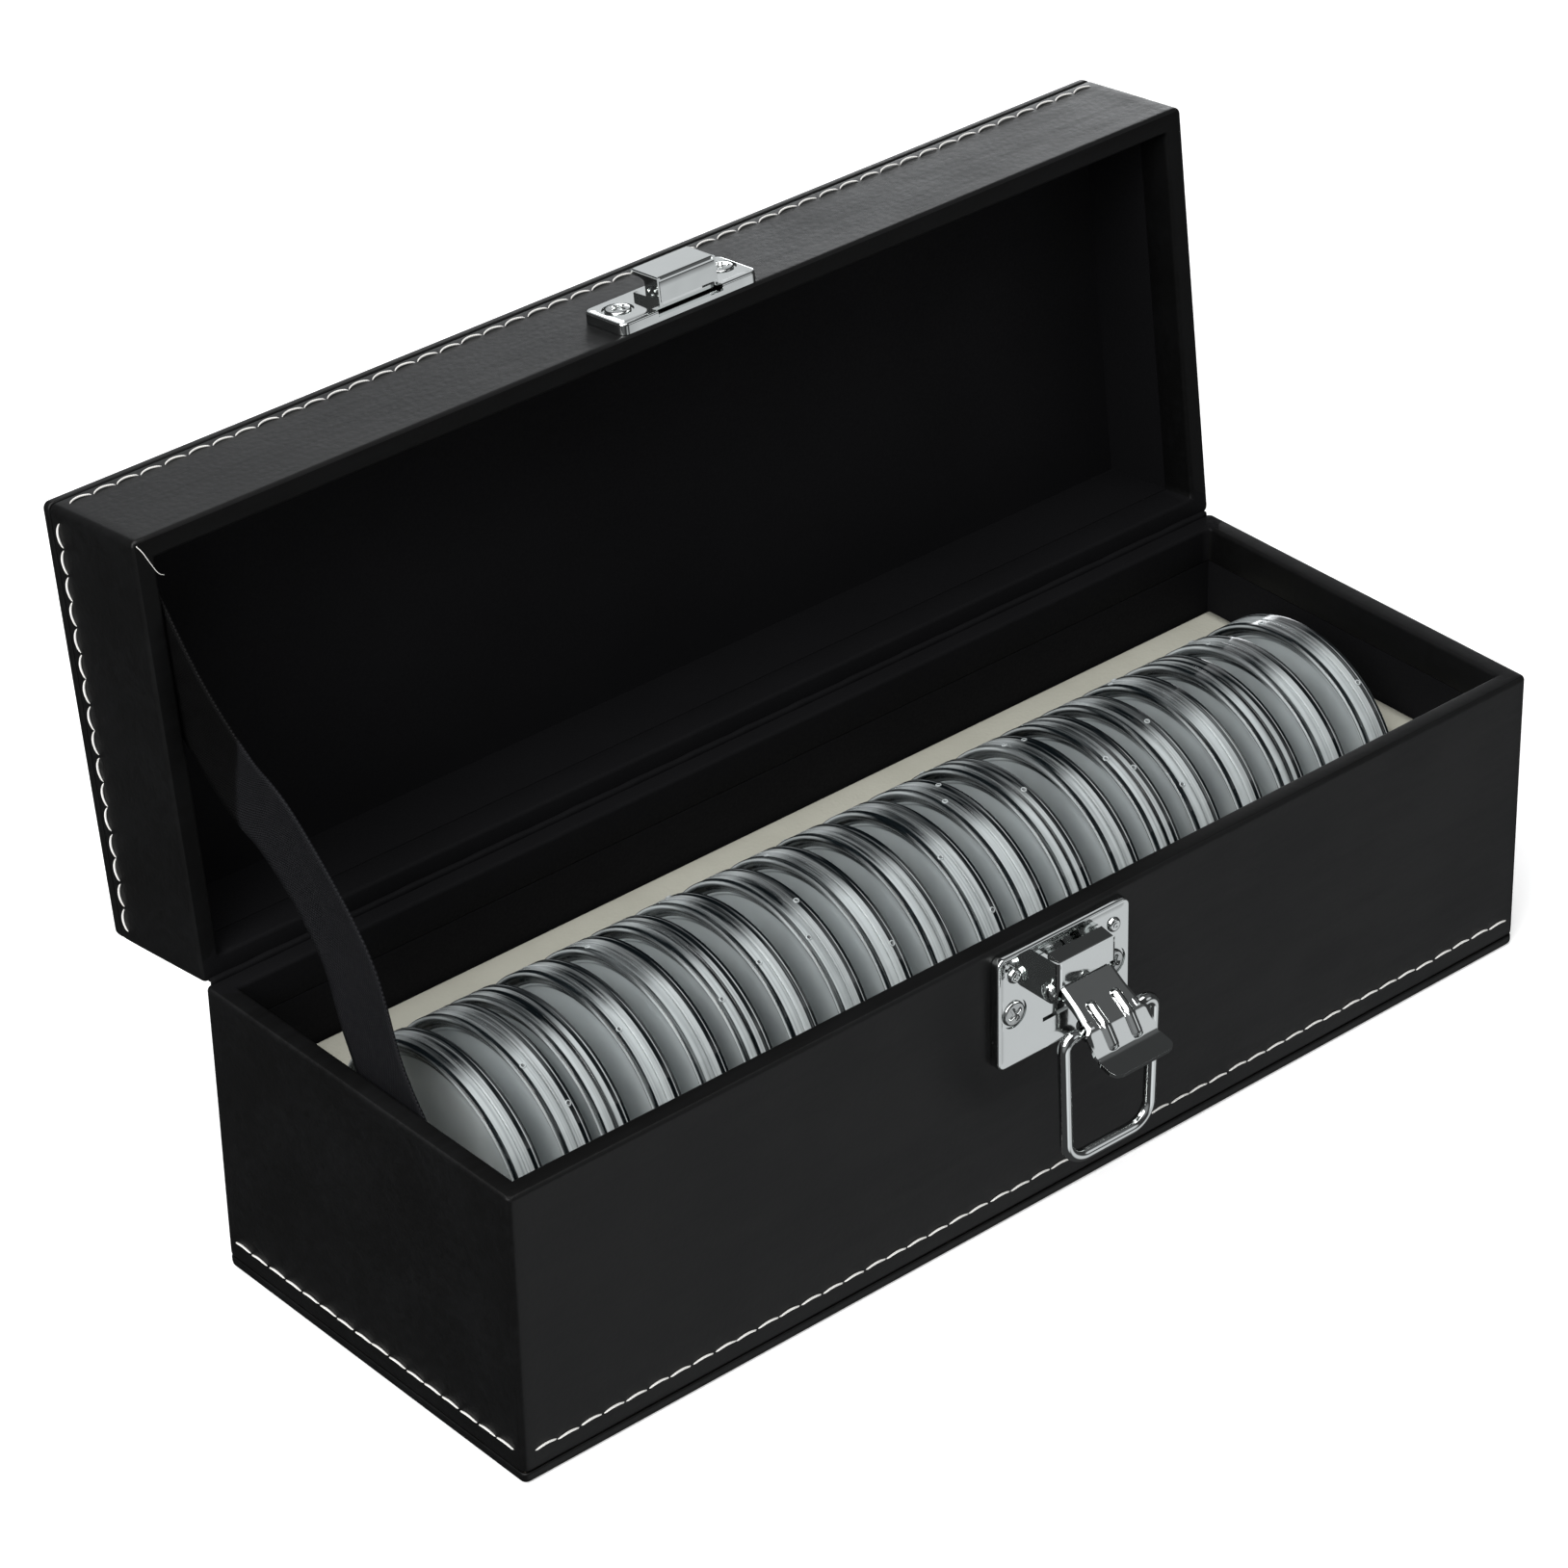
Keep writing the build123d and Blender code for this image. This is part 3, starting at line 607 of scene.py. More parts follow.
# ------------------------ capsules
def capsule_half(toward, rim_streak_shade):
    """Closed profile of one clear half: radius, distance from the parting plane and painted shade. Outside,
    a straight rim with painted shade along its edge, where the real one bends the light, a painted highlight
    on its corner, painted shade down a slope in to a fine ring that has a painted highlight, and a flat
    window;
    inside, a coin pocket, its seat and the joint face."""
    band = 1.9 if toward < 0 else 1.3
    # on the half towards +x a thin painted highlight line runs through the rim's dark edge
    line = 1 if toward < 0 else 0
    across = np.linspace(0.34, band, 7)
    rim = np.stack([np.full(7, CAPSULE_R), across, rim_streak_shade], -1)
    # painted shade on the rim's edge and down the slope, painted highlights on the corner and the ring; the
    # window and the pocket are left light
    edge = [[CAPSULE_R, band + 0.12, 1], [CAPSULE_R, 2.1, 1], [CAPSULE_R, 2.24, line],
            [CAPSULE_R, 2.38, 1], [CAPSULE_R, 2.72, 1],
            [25.44, 2.86, 0.9], [25.32, 2.97, 0.3], [25.15, 3.06, 0.15], [24.95, 3.09, 0.7]]
    slope = [[24.6, 2.9, 0.95], [24.2, 2.62, 0.8], [23.7, 2.2, 0.96], [23.3, 1.9, 0.6], [22.95, 1.62, 0.95]]
    ring = [[22.85, 1.52, 0], [22.7, 1.58, 0], [22.5, 1.58, 0], [22.35, 1.42, 0.2]]
    window = [[r, 1.4, 0.04] for r in (22.1, 21.0, 18.0, 12.0, 5.0, 0.0)]
    pocket = [[r, z, 0.1] for r, z in ((0.0, 0.9), (14.0, 0.9), (20.2, 0.9), (20.5, 0.75), (20.5, 0.3),
                                       (21.0, 0.25), (21.8, 0.2))]
    inside = [*pocket, [21.95, 0.05, 0], [23.2, 0.05, 0]]
    start = [[r, z, rim_streak_shade[0]] for r, z in ((24.9, 0.05), (25.4, 0.06), (25.47, 0.14), (CAPSULE_R, 0.24))]
    return np.array([*start, *rim, *edge, *slope, *ring, *window, *inside]) * [1, toward, 1]


def capsule(name, x):
    """Two halves turned round the row's axis and leaning by a hair, with a small moulding ring left on
    each rim. The rims carry painted shade, darkest over the top, standing in for the dark lid they reflect
    there."""
    steps, pip_steps, axis = 96, 14, np.array([1, 0, 0])
    parts, shades = [], []
    lean = rng.normal(0, 0.003, 2)
    # painted shade on the parting line, at one of three strengths per capsule, the lowest none
    parting_groove_shade = rng.choice([0.0, 0.3, 1.0])
    turn = np.linspace(0, 2 * np.pi, steps, endpoint=False)
    # painted shade over the top of the rims, standing in for the dark lid reflected there; it is laid on the
    # rim points below
    top = np.exp(-(np.abs(np.sin(turn / 2 - np.pi / 4)) / 0.165) ** 4)[:, None] * 0.88
    for toward in (-1, 1):
        # painted lines of light and shade across each half's rim, drawn at random
        rim_streak_shade = np.concatenate([[parting_groove_shade], rng.choice([0.0, 0.04, 0.12, 0.3], 6)])
        profile = capsule_half(toward, rim_streak_shade)
        profile = np.vstack([profile, profile[:1]]) * [CAPSULE_FIT, 1, 1]
        parts.append(lathe(profile, steps, lambda a, b, s: np.stack(
            [x + s + lean[0] * a + lean[1] * b, a, CAPSULE_Z + b], -1)))
        on_rim = profile[:, 0] > 22.0
        shades.append(np.maximum(profile[None, :, 2], top * on_rim).ravel())
        at_turn = math.radians(rng.uniform(35, 200))
        side = np.array([0, -math.cos(at_turn), math.sin(at_turn)])
        # the moulding ring's outer edge painted dark and its middle light
        pip = np.array([[0.0, 0.02, 0.8], [0.3, 0.04, 0.8], [0.38, 0.16, 0.1], [0.5, 0.16, 0.1],
                        [0.62, -0.1, 0.8]])
        across = np.cross(side, axis)
        at = np.array([x + toward * 1.6, 0, CAPSULE_Z]) + side * CAPSULE_R * CAPSULE_FIT
        parts.append(lathe(pip, pip_steps, lambda a, b, s: (
            at + a[..., None] * axis + b[..., None] * across + s[..., None] * side)))
        shades.append(np.tile(pip[:, 2], pip_steps))
    points, faces = joined(*parts)
    return make(f"clear_{name}", points, faces, CLEAR, name, [name],
                shade=np.concatenate(shades))


for node_name, x in zip(CAPSULES, CAPSULE_X):
    capsule(node_name, x)


# ------------------------ strap and hinge
def spline(points, n):
    """A smooth curve through the given points (Catmull-Rom), evenly spaced by length."""
    p = np.asarray(points, float)
    p = np.vstack([2 * p[0] - p[1], p, 2 * p[-1] - p[-2]])
    t = np.linspace(0, 1, 40, endpoint=False)[:, None]
    runs = []
    for a, b, c, d in zip(p, p[1:], p[2:], p[3:]):
        runs.append(0.5 * (2 * b + (c - a) * t + (2 * a - 5 * b + 4 * c - d) * t ** 2
                           + (3 * b - a - 3 * c + d) * t ** 3))
    curve = np.vstack([*runs, p[-2:-1]])
    s = np.concatenate([[0], np.cumsum(np.linalg.norm(np.diff(curve, axis=0), axis=1))])
    even = np.linspace(0, s[-1], n)
    return np.stack([np.interp(even, s, curve[:, k]) for k in range(p.shape[1])], -1), even


def ribbon():
    """Woven strap: a centre line along the case's left walls, bowed off them, widened both ways across
    it; the cloth cups between its ends, and its edges wave a little. Past a slanting line it carries painted
    shade, where the real strap folds away from the light; the cloth is not folded there."""
    half_width, thick = 7.5, 0.42
    line, along = spline([
        (-110.5, -11.0, 46.5), (-110.2, -3.0, 57.0), (-109.4, 1.8, 64.0), (-108.6, 7.0, 74.2),
        (-108.2, 15.0, 83.0), (-108.4, 25.0, 91.7), (-109.2, 33.6, 97.2), (-110.2, 45.0, 108.5),
        (-110.5, 56.0, 121.0)], 140)
    run = np.gradient(line[:, 1:], axis=0)
    run /= np.linalg.norm(run, axis=1, keepdims=True)
    across = np.stack([np.zeros(len(run)), -run[:, 1], run[:, 0]], -1)
    t = np.linspace(-1, 1, 15)
    # the painted shade's line across the strap: its place along, its slant and how soft its edge is
    shade_line_at, shade_line_slant, shade_line_soft = 68.8, 4.2, 0.4
    cup = 0.35 * np.sin(along / along[-1] * np.pi)[:, None] * (t ** 2)[None, :]
    flutter = 0.12 * np.sin(along / 6.0)[:, None] * t[None, :]
    grid = line[:, None] + across[:, None] * (t * half_width)[None, :, None]
    grid[..., 0] -= cup + flutter
    points, faces = sheet_of(grid, thick)
    uv = np.stack(np.broadcast_arrays(t[None, :] * half_width, along[:, None]), -1).reshape(-1, 2)
    # painted shade past the slanting line
    past = along[:, None] - shade_line_slant * t[None, :]
    painted_fold_shade = smooth(past, shade_line_at - shade_line_soft, shade_line_at + shade_line_soft).ravel()
    piece = make("lid_ribbon", points, faces, RIBBON, None, ["lid_strap"],
                 uv=np.vstack([uv, uv]), shade=np.tile(painted_fold_shade, 2))
    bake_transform(piece)


ribbon()


def loose_thread():
    """Loose end of sewing thread at the lid's front left rim corner: a thinning tube along a curve that
    lies on the rim."""
    line, along = spline([(-114.2, -39.2, 0.08), (-113.2, -37.7, 0.06), (-112.2, -35.6, 0.06),
                          (-111.0, -33.4, 0.1), (-109.9, -32.6, 0.2)], 40)
    radius = 0.085 * (1 - 0.5 * along / along[-1])
    points, faces = tube(line, radius, (0, 0, 1), 8)
    make("loose_thread", on_lid(points), faces, THREAD, "lid")


loose_thread()


def hinge_leather():
    """Hinge strip: a section that lies flush in both rear walls and folds on the hinge line, carried
    along the case, with puckers that fade towards the flat legs."""
    sunk, reach = 0.32, 6.0
    x = np.linspace(-HALF_X + 1.3, HALF_X - 1.3, 230)
    run = np.array([math.sin(LEAN), math.cos(LEAN)])
    inward = np.array([-math.cos(LEAN), math.sin(LEAN)])
    hinge = np.array([HALF_Y, HINGE_Z])
    down = np.linspace(reach, 0.25, 12)
    leg = hinge - np.outer(down, [0, 1.0]) + [-sunk, 0]
    up = hinge + np.outer(down[::-1], run) + inward * sunk
    mid = np.stack([hinge + [-sunk, 0.05], hinge + [-0.3, sunk], hinge + inward * sunk + run * 0.02])
    section = np.vstack([leg, mid, up])
    s = np.arange(len(section)) - (len(section) - 1) / 2
    near = np.exp(-(s / 5.0) ** 2)
    pucker = np.sin(x / 2.3 + 2 * np.sin(x / 19)) + 0.7 * np.sin(x / 1.1 + 3 * np.sin(x / 31))
    grid = np.concatenate([
        np.broadcast_to(x[:, None, None], (len(x), len(section), 1)),
        np.broadcast_to(section[None], (len(x), len(section), 2))], -1).copy()
    lift = 0.06 * pucker[:, None] * near[None]
    grid[..., 1] -= lift * 0.4
    grid[..., 2] += lift
    points, faces = sheet_of(grid, 0.6)
    piece = make("hinge_leather", points, faces, LINING, None, ["hinge_strip"])
    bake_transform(piece)


hinge_leather()


# ------------------------ latch
def pressed_plate(name, place, low, high, proud, shift, body, node, extra=()):
    """Pressed plate with its edges turned back to the wall: a profile of inset and height with a tight
    shoulder and a faintly sunk face, carried round a rectangle with rounded corners and closed under."""
    half_width, corner, bend = 15.0, 1.6, 0.38
    depth, under, sunk = (high - low) / 2, proud - 0.7, proud - 0.07
    profile = np.vstack([
        [[depth, under], [3.0, under], [0.75, under], [0.75, 0.1], [0.1, 0.02], [0.0, 0.1],
         [0.0, proud - 0.45]], arc_points(bend, proud - bend, bend, 175, 90, 7),
        [[0.75, proud], [1.0, sunk], [2.5, sunk], [depth, sunk]]])
    loop, _ = loop_round(half_width, depth, corner, profile[:, 0], 12, 8)
    level = np.broadcast_to(profile[:, 1], loop.shape[:2])
    points = np.stack([loop[..., 0] + shift, level, loop[..., 1] + (low + high) / 2], -1)
    points, faces = joined((points, grid_faces(*points.shape[:2], wrap_rows=True)), *extra)
    return make(name, place(points), faces, CHROME, body, [node])


def box_cutter(place, lo, hi):
    """A plain box to cut with, between two corners."""
    x, y, z = [np.array([a, b]) for a, b in zip(lo, hi)]
    p = np.array([[i, j, k] for k in z for j in y for i in x])
    f = [(0, 1, 3, 2), (4, 6, 7, 5), (0, 4, 5, 1), (2, 3, 7, 6), (0, 2, 6, 4), (1, 5, 7, 3)]
    return make("cutter", place(p), f, CHROME, smooth=False)


def round_cutter(place, u, v, r, foot):
    """A plain disc to cut a screw's seat with."""
    profile = [[0.0, foot], [r, foot], [r + 0.15, foot + 2], [0.0, foot + 2]]
    points, faces = lathe(profile, 48, lambda a, b, s: np.stack([u + a, s, v + b], -1))
    return make("cutter", place(points), faces, CHROME)


def cut(piece, *cutters):
    """Cuts the shapes away from the piece, applies it and drops them."""
    for cutter in cutters:
        step = piece.modifiers.new("opening", "BOOLEAN")
        step.operation, step.object, step.solver = "DIFFERENCE", cutter, "EXACT"
    bpy.context.view_layer.update()
    done = bpy.data.meshes.new_from_object(piece.evaluated_get(bpy.context.evaluated_depsgraph_get()))
    piece.modifiers.clear()
    piece.data = done
    piece.data.set_sharp_from_angle(angle=math.radians(35))
    for cutter in cutters:
        bpy.data.objects.remove(cutter)


SEAT_R, SEAT_DEEP = 2.8, 0.35
latch_plate = pressed_plate("latch_backplate", base_face, 33.3, 55.4, PLATE_PROUD, 0.0, "base", "latch_plate")
cut(latch_plate, box_cutter(base_face, (-4.8, 1.3, 39.0), (4.8, 3.0, 44.5)),
    *[round_cutter(base_face, side * SCREW_U, BASE_SCREW_V, SEAT_R, PLATE_PROUD - SEAT_DEEP)
      for side in (-1, 1)])
step = sheet_of(swept(np.linspace(-6.9, 5.9, 9), [[0.1, 1.55], [0.45, 1.5], [0.8, 1.7], [0.85, 2.1],
                                                  [0.6, 2.5]]), 0.3)
catch_plate = pressed_plate("catch_backplate", lid_face, 0.6, 11.4, CATCH_PROUD, -0.5, "lid", "catch_plate",
                            [step])
cut(catch_plate, box_cutter(lid_face, (-7.6, 0.95, -1.0), (6.6, 4.0, 2.3)),
    *[round_cutter(lid_face, side * SCREW_U, LID_SCREW_V, SEAT_R, CATCH_PROUD - SEAT_DEEP)
      for side in (-1, 1)])


def screws(name, place, height, seat, body, node, turns):
    """Cross-recess screw heads: a low dome over a polar grid, sunk along two crossed arms whose floor
    slopes up to their ends, with a rounded edge that drops into the seat round it."""
    steps, deep = 96, 0.6
    parts = []
    for side, turn in zip((-1, 1), turns):
        r = np.concatenate([np.linspace(0, 2.0, 26), [2.12, 2.22, 2.3, 2.34, 2.3]])
        drop = np.concatenate([np.zeros(26), [0.03, 0.1, 0.24, 0.45, 0.7]])
        ang = np.linspace(0, 2 * np.pi, steps, endpoint=False)[:, None]
        a, b = r * np.cos(ang), r * np.sin(ang)
        ca, sa = math.cos(turn), math.sin(turn)
        p, q = np.abs(a * ca + b * sa), np.abs(-a * sa + b * ca)
        arm = smooth(-np.minimum(p, q), -0.42, -0.22) * smooth(-np.maximum(p, q), -1.6, -1.0)
        dome = seat + 0.16 + 0.16 * (1 - (r / 2.2) ** 2) - drop
        points = np.stack([side * SCREW_U + a, dome - deep * arm, height + b], -1)
        parts.append((points, grid_faces(steps, len(r), wrap_rows=True)))
    points, faces = joined(*parts)
    return make(name, place(points), faces, SCREW_CHROME, body, [node])


screws("latch_screw_heads", base_face, BASE_SCREW_V, PLATE_PROUD, "base", "latch_screws", (0.5, 1.1))
screws("catch_screw_heads", lid_face, LID_SCREW_V, CATCH_PROUD, "lid", "catch_screws", (0.2, 0.9))


def rivets(name, place, at, body):
    """Small domed rivet heads with a dimple."""
    parts = []
    for u, v in at:
        profile = [[0.0, 2.2], [0.35, 2.22], [0.7, 2.38], [1.0, 2.36], [1.25, 2.15], [1.35, 1.9], [1.4, 1.6]]
        parts.append(lathe(profile, 28, lambda a, b, s: np.stack([u + a, s, v + b], -1)))
    points, faces = joined(*parts)
    return make(name, place(points), faces, CHROME, body)


rivets("latch_rivets", base_face, [(-SCREW_U, 51.3), (SCREW_U, 51.3)], "base")


def bridge():
    """Folded channel: a path across the latch, up one cheek, round a tight bend, along the face and down
    the other, between a lower edge that is round about the pin on the cheeks and straight on the face,
    and a level top; and a lip folded back from the face's top, rising a little towards the plate."""
    bend, cheek, face, top = 0.5, 6.2, 7.1, 54.0
    boss = 2.3  # steel left round the pin
    up = [(cheek, d) for d in (1.7, 2.6, 3.6, 4.6, 5.4, face - bend)]
    turn = [(cheek - bend + bend * math.cos(a), face - bend + bend * math.sin(a))
            for a in np.radians([22, 45, 68, 90])]
    right = np.array(up + turn)
    flat = np.stack([np.linspace(5.2, -5.2, 12), np.full(12, face)], -1)
    path = np.vstack([right, flat, right[::-1] * [-1, 1]])
    u, d = np.abs(path[:, 0]), path[:, 1]
    round_pin = PIN[1] - np.sqrt(np.maximum(boss ** 2 - (d - PIN[0]) ** 2, 0))
    low = np.where(d < PIN[0], PIN[1] - boss, round_pin)
    low = np.where(u > cheek - 0.05, low, np.interp(u, [cheek - bend, cheek], [49.5, 48.2]))
    t = np.linspace(0, 1, 14)[:, None]
    z = low * (1 - t) + top * t
    grid = np.concatenate([np.broadcast_to(path, (14, len(path), 2)), z[..., None]], -1)
    lip = np.vstack([[[face, 53.0], [face, 53.3]], arc_points(6.75, 53.4, 0.35, 0, 80, 6),
                     [[5.4, top], [4.2, 54.22]]])
    points, faces = joined(sheet_of(grid, SHEET), sheet_of(swept(np.linspace(-6.1, 6.1, 9), lip), 0.7))
    return make("latch_channel", base_face(points), faces, CHROME, "base", ["latch_bridge"])


def soften(piece, width):
    """Eases the piece's sharp edges."""
    eased = piece.modifiers.new("eased", "BEVEL")
    eased.width, eased.segments = width / 1000, 3
    eased.limit_method, eased.angle_limit = "ANGLE", math.radians(40)
    piece.data.set_sharp_from_angle(angle=math.radians(50))
    return piece


soften(bridge(), EASE)


def lever_pin():
    """Straight pin with domed heads outside both cheeks."""
    heads = np.array([[0.0, -7.6], [0.8, -7.5], [1.3, -7.25], [1.55, -6.9], [1.6, -6.68], [1.0, -6.66]])
    profile = np.vstack([heads, heads[::-1] * [1, -1]])
    points, faces = lathe(profile, 32, lambda a, b, s: np.stack([s, PIN[0] + a, PIN[1] + b], -1))
    return make("lever_pin", base_face(points), faces, CHROME, "base", ["latch_pin"])


lever_pin()


def lever():
    """Pressed toggle lever: a strip along a bent profile, narrow above the bend and wider below with
    rounded shoulders, its lip corners rounded; two ribs are raised over the bend; flanges turn back
    along the upper half and end in round ears about both pivots."""
    sheet, spacing, flange_u, flange_long, tip_r = 0.75, 0.28, 5.2, 8.9, 1.8
    outer = np.array([(7.3, 48.9), (14.7, 43.9), (17.3, 40.0), (21.8, 39.0)])
    # the profile's corners are rounded by a running mean over five of its points
    knots = []
    for a, b in zip(outer, outer[1:]):
        n = int(np.linalg.norm(b - a) / spacing)
        knots.append(a + (b - a) * np.linspace(0, 1, n, endpoint=False)[:, None])
    line = np.vstack([*knots, outer[-1:]])
    kernel = np.array([1, 2, 3, 2, 1]) / 9.0
    padded = np.vstack([line[0] - (line[1] - line[0]) * [[2], [1]], line,
                        line[-1] + (line[-1] - line[-2]) * [[1], [2]]])
    line = np.stack([np.convolve(padded[:, k], kernel, "valid") for k in (0, 1)], -1)
    s = np.concatenate([[0], np.cumsum(np.linalg.norm(np.diff(line, axis=0), axis=1))])
    run = np.gradient(line, axis=0)
    run /= np.linalg.norm(run, axis=1, keepdims=True)
    up = np.stack([-run[:, 1], run[:, 0]], -1)
    mid = line - up * 0.4
    top_end, foot_end, tip = 8.93, 13.6, s[-1]
    half = 5.6 + 0.5 * smooth(s, 3.0, top_end) + 0.85 * smooth(s, top_end - 0.8, top_end + 0.4)
    round_tip = np.clip(tip_r - (tip - s), 0, tip_r)
    half = half - (tip_r - np.sqrt(np.maximum(tip_r ** 2 - round_tip ** 2, 0)))
    half = half - 0.35 * np.exp(-((s - foot_end) / 0.35) ** 2)
    t = np.linspace(-1, 1, 61)
    u = half[:, None] * t
    # ribs, and the sides rolled down below the bend
    rib = np.exp(-(np.abs(np.abs(u) - 2.75) / 0.66) ** 4)
    rib = rib * (smooth(s, 4.1, 4.8) * smooth(-s, -13.2, -12.4))[:, None]
    roll = 0.25 * smooth(np.abs(t), 0.9, 1.0)[None, :] * smooth(-s, -top_end - 4.0, -top_end)[:, None]
    lift = 0.85 * rib - roll
    grid = np.stack([u, mid[:, :1] + up[:, :1] * lift, mid[:, 1:] + up[:, 1:] * lift], -1)
    parts = [sheet_of(grid, sheet)]
    along = (outer[1] - outer[0]) / np.linalg.norm(outer[1] - outer[0])
    under = np.array([along[1], -along[0]])
    f = np.linspace(0, flange_long, 24)
    drop = np.linspace(0.35, 1, 6)[:, None]
    depth = 1.9 + 0.2 * np.cos(f / flange_long * 2 * np.pi)
    flange = (outer[0] + along * f[:, None])[None] + under * (drop * depth)[..., None]
    r, a = np.linspace(0.95, 2.05, 6), np.linspace(0, 2 * np.pi, 33)[:, None]
    ears = [np.stack([pivot[0] + r * np.cos(a), pivot[1] + r * np.sin(a)], -1) for pivot in (PIN, BAIL)]
    for side in (-1, 1):
        for flat in (flange, *ears):
            across = np.full((*flat.shape[:2], 1), side * flange_u)
            parts.append(sheet_of(np.concatenate([across, flat], -1), sheet))
    points, faces = joined(*parts)
    piece = make("toggle_lever", base_face(points), faces, CHROME, "lever", ["latch_lever"])
    return soften(piece, 0.2)


lever()


def bail():
    """Wire loop: stubs, two corners, two legs that lean in and a bar with rounded corners, as one even
    path; the wire necks down inside the lever's ears."""
    def corner(p, a, b, r, n):
        """An arc of radius r in the corner at p, between the lines to a and b."""
        p, a, b = map(np.array, (p, a, b))
        ua, ub = (a - p) / np.linalg.norm(a - p), (b - p) / np.linalg.norm(b - p)
        half = math.acos(float(ua @ ub)) / 2
        centre = p + (ua + ub) / np.linalg.norm(ua + ub) * r / math.sin(half)
        start = (p + ua * r / math.tan(half) - centre) / r
        th = np.linspace(0, math.pi - 2 * half, n)[:, None]
        return centre + r * (start * np.cos(th) - ua * np.sin(th))
    top, foot, reach, stub, neck_end = 10.2, 9.4, 24.9, 4.6, 7.2
    neck, wire = 0.9, 1.15
    pts = [(stub, 0.0), (top, 0.0), (foot, -reach), (-foot, -reach)]
    right = np.vstack([[[stub, 0.0], [neck_end - 0.3, 0.0], [neck_end + 0.2, 0.0]],
                       corner(pts[1], pts[0], pts[2], 1.9, 12), corner(pts[2], pts[1], pts[3], 4.4, 18)])
    flat = np.vstack([right, right[::-1] * [-1, 1]])
    radius = np.where((np.abs(flat[:, 0]) < neck_end) & (flat[:, 1] > -1.0), neck, wire)
    path = np.stack([flat[:, 0], np.full(len(flat), BAIL[0]), BAIL[1] + flat[:, 1]], -1)
    points, faces = tube(path, radius, (0, 1, 0), 24)
    return make("wire_bail", base_face(points), faces, CHROME, "bail", ["latch_bail"])


bail()


def hook():
    """Folded hood on the catch: one sheet goes up the rim-side wall, round a tight bend and back along
    the face; two cheeks close its sides and are slotted from the back for the wire, which leaves a low
    tab on each."""
    bend, low, face, cheek = 0.45, 1.9, 6.8, 6.05
    line = np.vstack([[[2.8, low], [4.0, low], [5.4, low]],
                      arc_points(face - bend, low + bend, bend, -90, 0, 6),
                      [[face, 4.0], [face, 6.4], [face, 8.7]]])
    parts = [sheet_of(swept(np.linspace(-6.0, 6.0, 13), line), SHEET)]
    n = np.array([2.0, 2.4, 3.0, 3.1, 3.2, 4.5, 6.0, 6.35, 6.45, 6.8, 7.05])
    back = np.array([8.6, 8.6, 8.6, 8.0, 5.2, 5.15, 5.2, 6.2, 8.6, 8.7, 8.7])
    t = np.linspace(0, 1, 10)[:, None]
    v = 1.6 * (1 - t) + back * t
    for side in (-1, 1):
        parts.append(sheet_of(np.stack(np.broadcast_arrays(np.full((10, 1), side * cheek), n, v), -1), 0.7))
    points, faces = joined(*parts)
    piece = make("catch_hood", lid_face(points), faces, CHROME, "lid", ["catch_hook"])
    return soften(piece, EASE)


hook()


# ------------------------ stage
def plain(name, colour, rough):
    """A matt, nearly even colour."""
    m, n, s, where = material(name)
    broad = n.noise(where, 2.0, 2.0)
    n.feed(s, "Base Color", n.mix(broad, (*[c * 0.99 for c in colour], 1), (*colour, 1)))
    n.feed(s, "Roughness", rough)
    return m


FLOOR = 3000
floor = make("floor", [[-FLOOR, -FLOOR, 0], [FLOOR, -FLOOR, 0], [FLOOR, FLOOR, 0], [-FLOOR, FLOOR, 0]],
             [(0, 1, 2, 3)], plain("pale_floor", (0.92, 0.92, 0.92), 0.9), closed=False, smooth=False)
floor.visible_glossy = False
glow = floor.data.materials[0].node_tree.nodes["Principled BSDF"]
glow.inputs["Emission Color"].default_value = (1, 1, 1, 1)
glow.inputs["Emission Strength"].default_value = 0.45


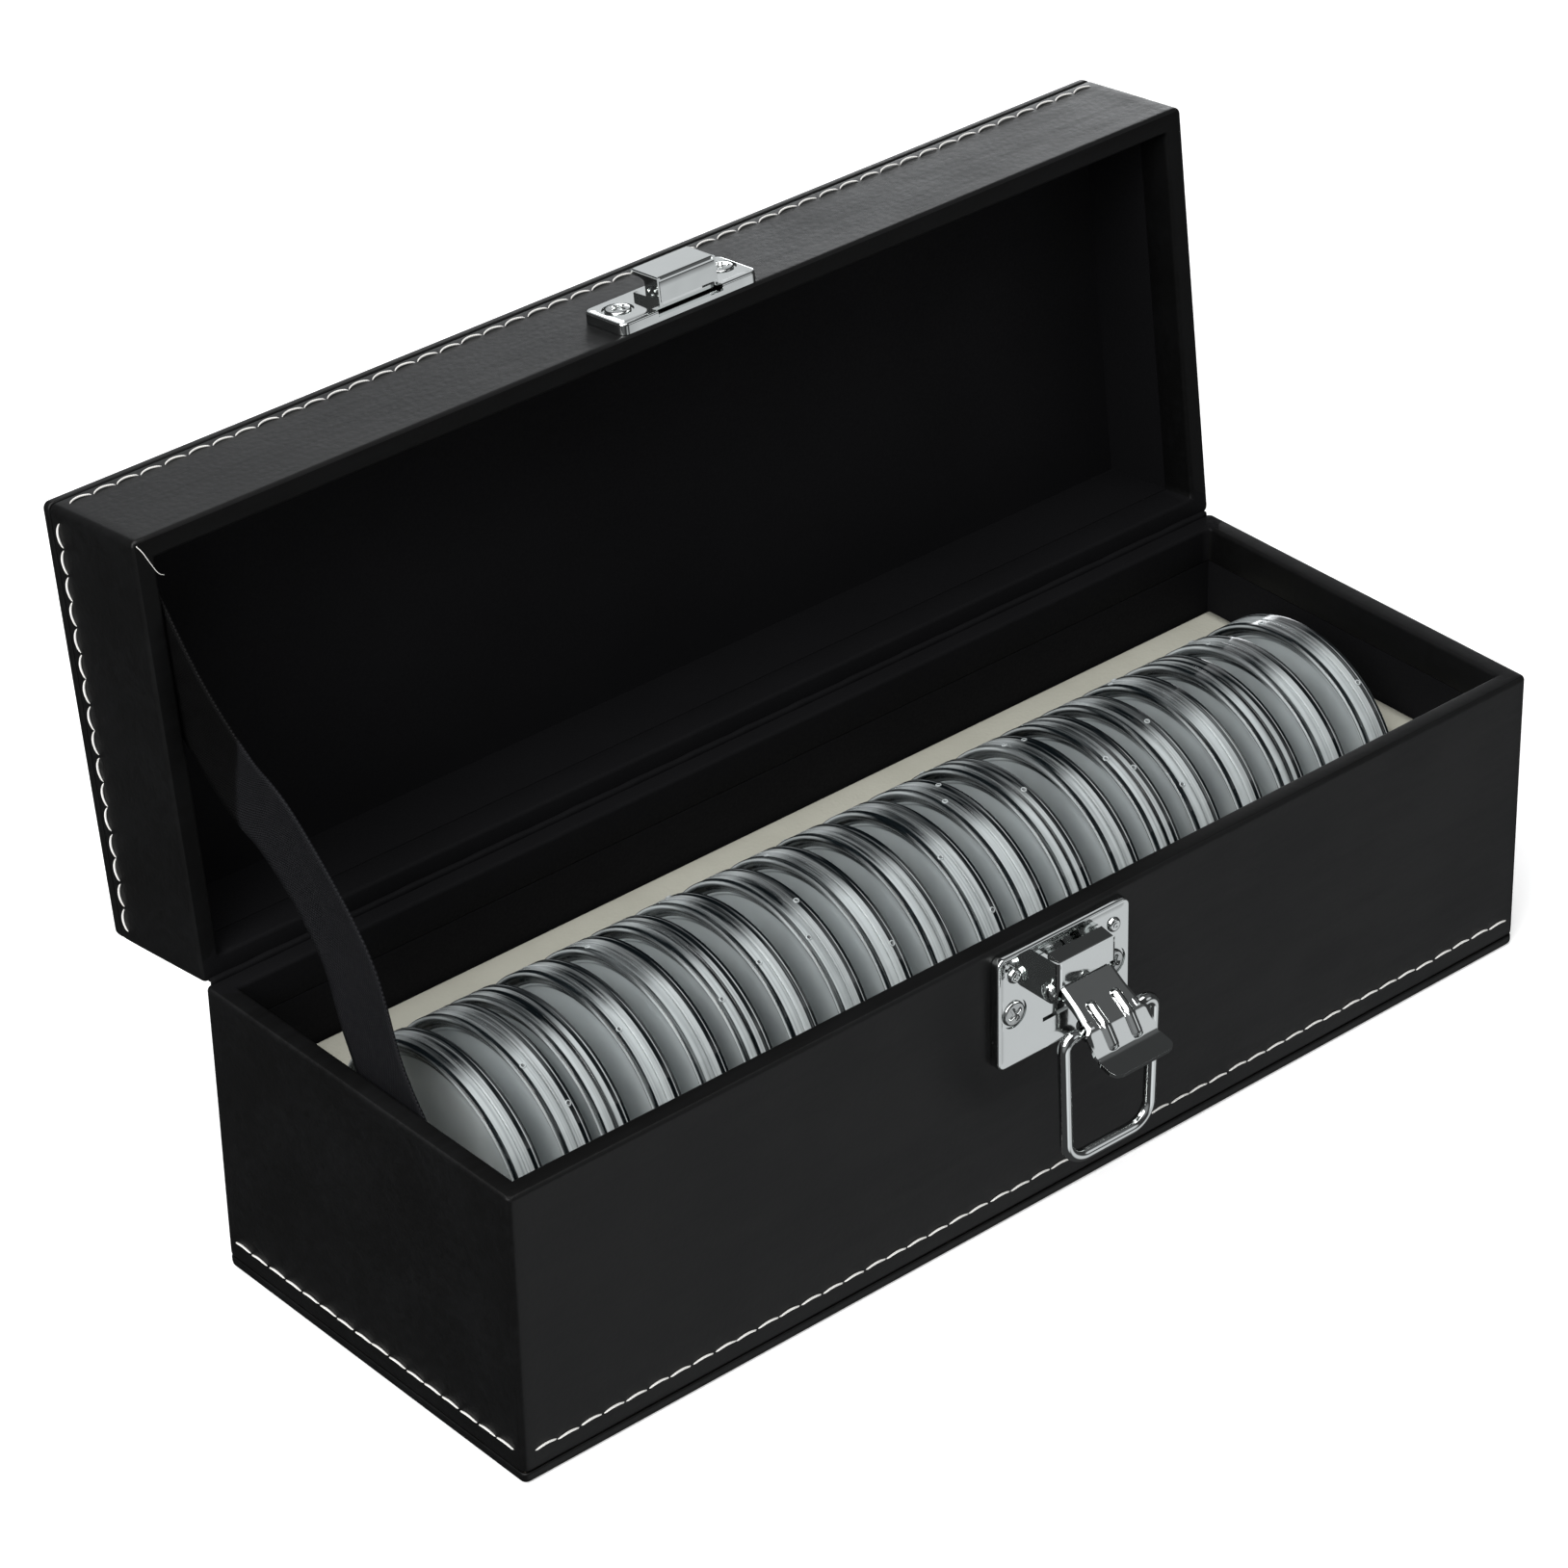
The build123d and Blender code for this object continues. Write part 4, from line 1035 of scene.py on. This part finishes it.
def lamp(name, size, power, place):
    """A square soft light in metres and watts, aimed at the case."""
    aim = (0.0, 0.0, 0.05)
    data = bpy.data.lights.new(name, "AREA")
    data.shape, data.size, data.size_y, data.energy = "RECTANGLE", size, size, power
    light = bpy.data.objects.new(name, data)
    light.location = place
    light.rotation_euler = (Vector(aim) - Vector(place)).to_track_quat("-Z", "Y").to_euler()
    bpy.context.scene.collection.objects.link(light)


lamp("top_softbox", 1.6, 26.0, (-0.4, -0.1, 1.5))
lamp("left_softbox", 0.9, 15.0, (-1.2, -0.5, 1.0))


def studio():
    """The room round the case, which the leatherette and the plating reflect: nearly dark, with soft
    round patches of light, each given by the way to its middle, the angles from there at which it starts
    to fade and is gone, and its power."""
    world = bpy.data.worlds.new("studio")
    bpy.context.scene.world = world
    world.use_nodes = True
    n = Nodes(world.node_tree)
    view = n.tree.nodes.new("ShaderNodeTexCoord").outputs["Generated"]
    total = 0.045
    for place, wide, soft, power in (
            ((0.544, 0.74, 0.39), 13, 22, 0.62), ((0.71, 0.70, 0.08), 4, 11, 6.5),
            ((0.56, -0.66, -0.50), 12, 24, 0.6), ((0.55, -0.76, 0.34), 10, 18, 0.6),
            ((-0.75, -0.6, 0.25), 15, 40, 0.2),
            ((0.544, -0.255, 0.80), 14, 30, 0.06), ((0.0, -0.845, -0.534), 9, 20, 0.8)):
        dot = n.add("ShaderNodeVectorMath", operation="DOT_PRODUCT")
        n.feed(dot, 0, view)
        n.feed(dot, 1, Vector(place).normalized())
        lobe = n.ramp(dot.outputs["Value"], math.cos(math.radians(soft)), math.cos(math.radians(wide)))
        total = n.math("ADD", total, n.math("MULTIPLY", lobe, power))
    n.feed(world.node_tree.nodes["Background"], "Color", (0.96, 0.98, 1.0, 1))
    n.feed(world.node_tree.nodes["Background"], "Strength", total)


studio()
bpy.context.scene.view_settings.view_transform = "Standard"

lens = bpy.data.cameras.new("camera")
lens.lens, lens.sensor_width, lens.clip_end = 132.02, 36.0, 50.0
camera = bpy.data.objects.new("camera", lens)
right = Vector((0.75623618, -0.65393233, -0.02189424))
up = Vector((0.36333247, 0.39187443, 0.84523603))
back = right.cross(up).normalized()
turned = Matrix((right, up, back)).transposed().to_4x4()
camera.matrix_world = Matrix.Translation((-0.54364, -0.61866, 0.58563)) @ turned
bpy.context.scene.collection.objects.link(camera)
bpy.context.scene.camera = camera
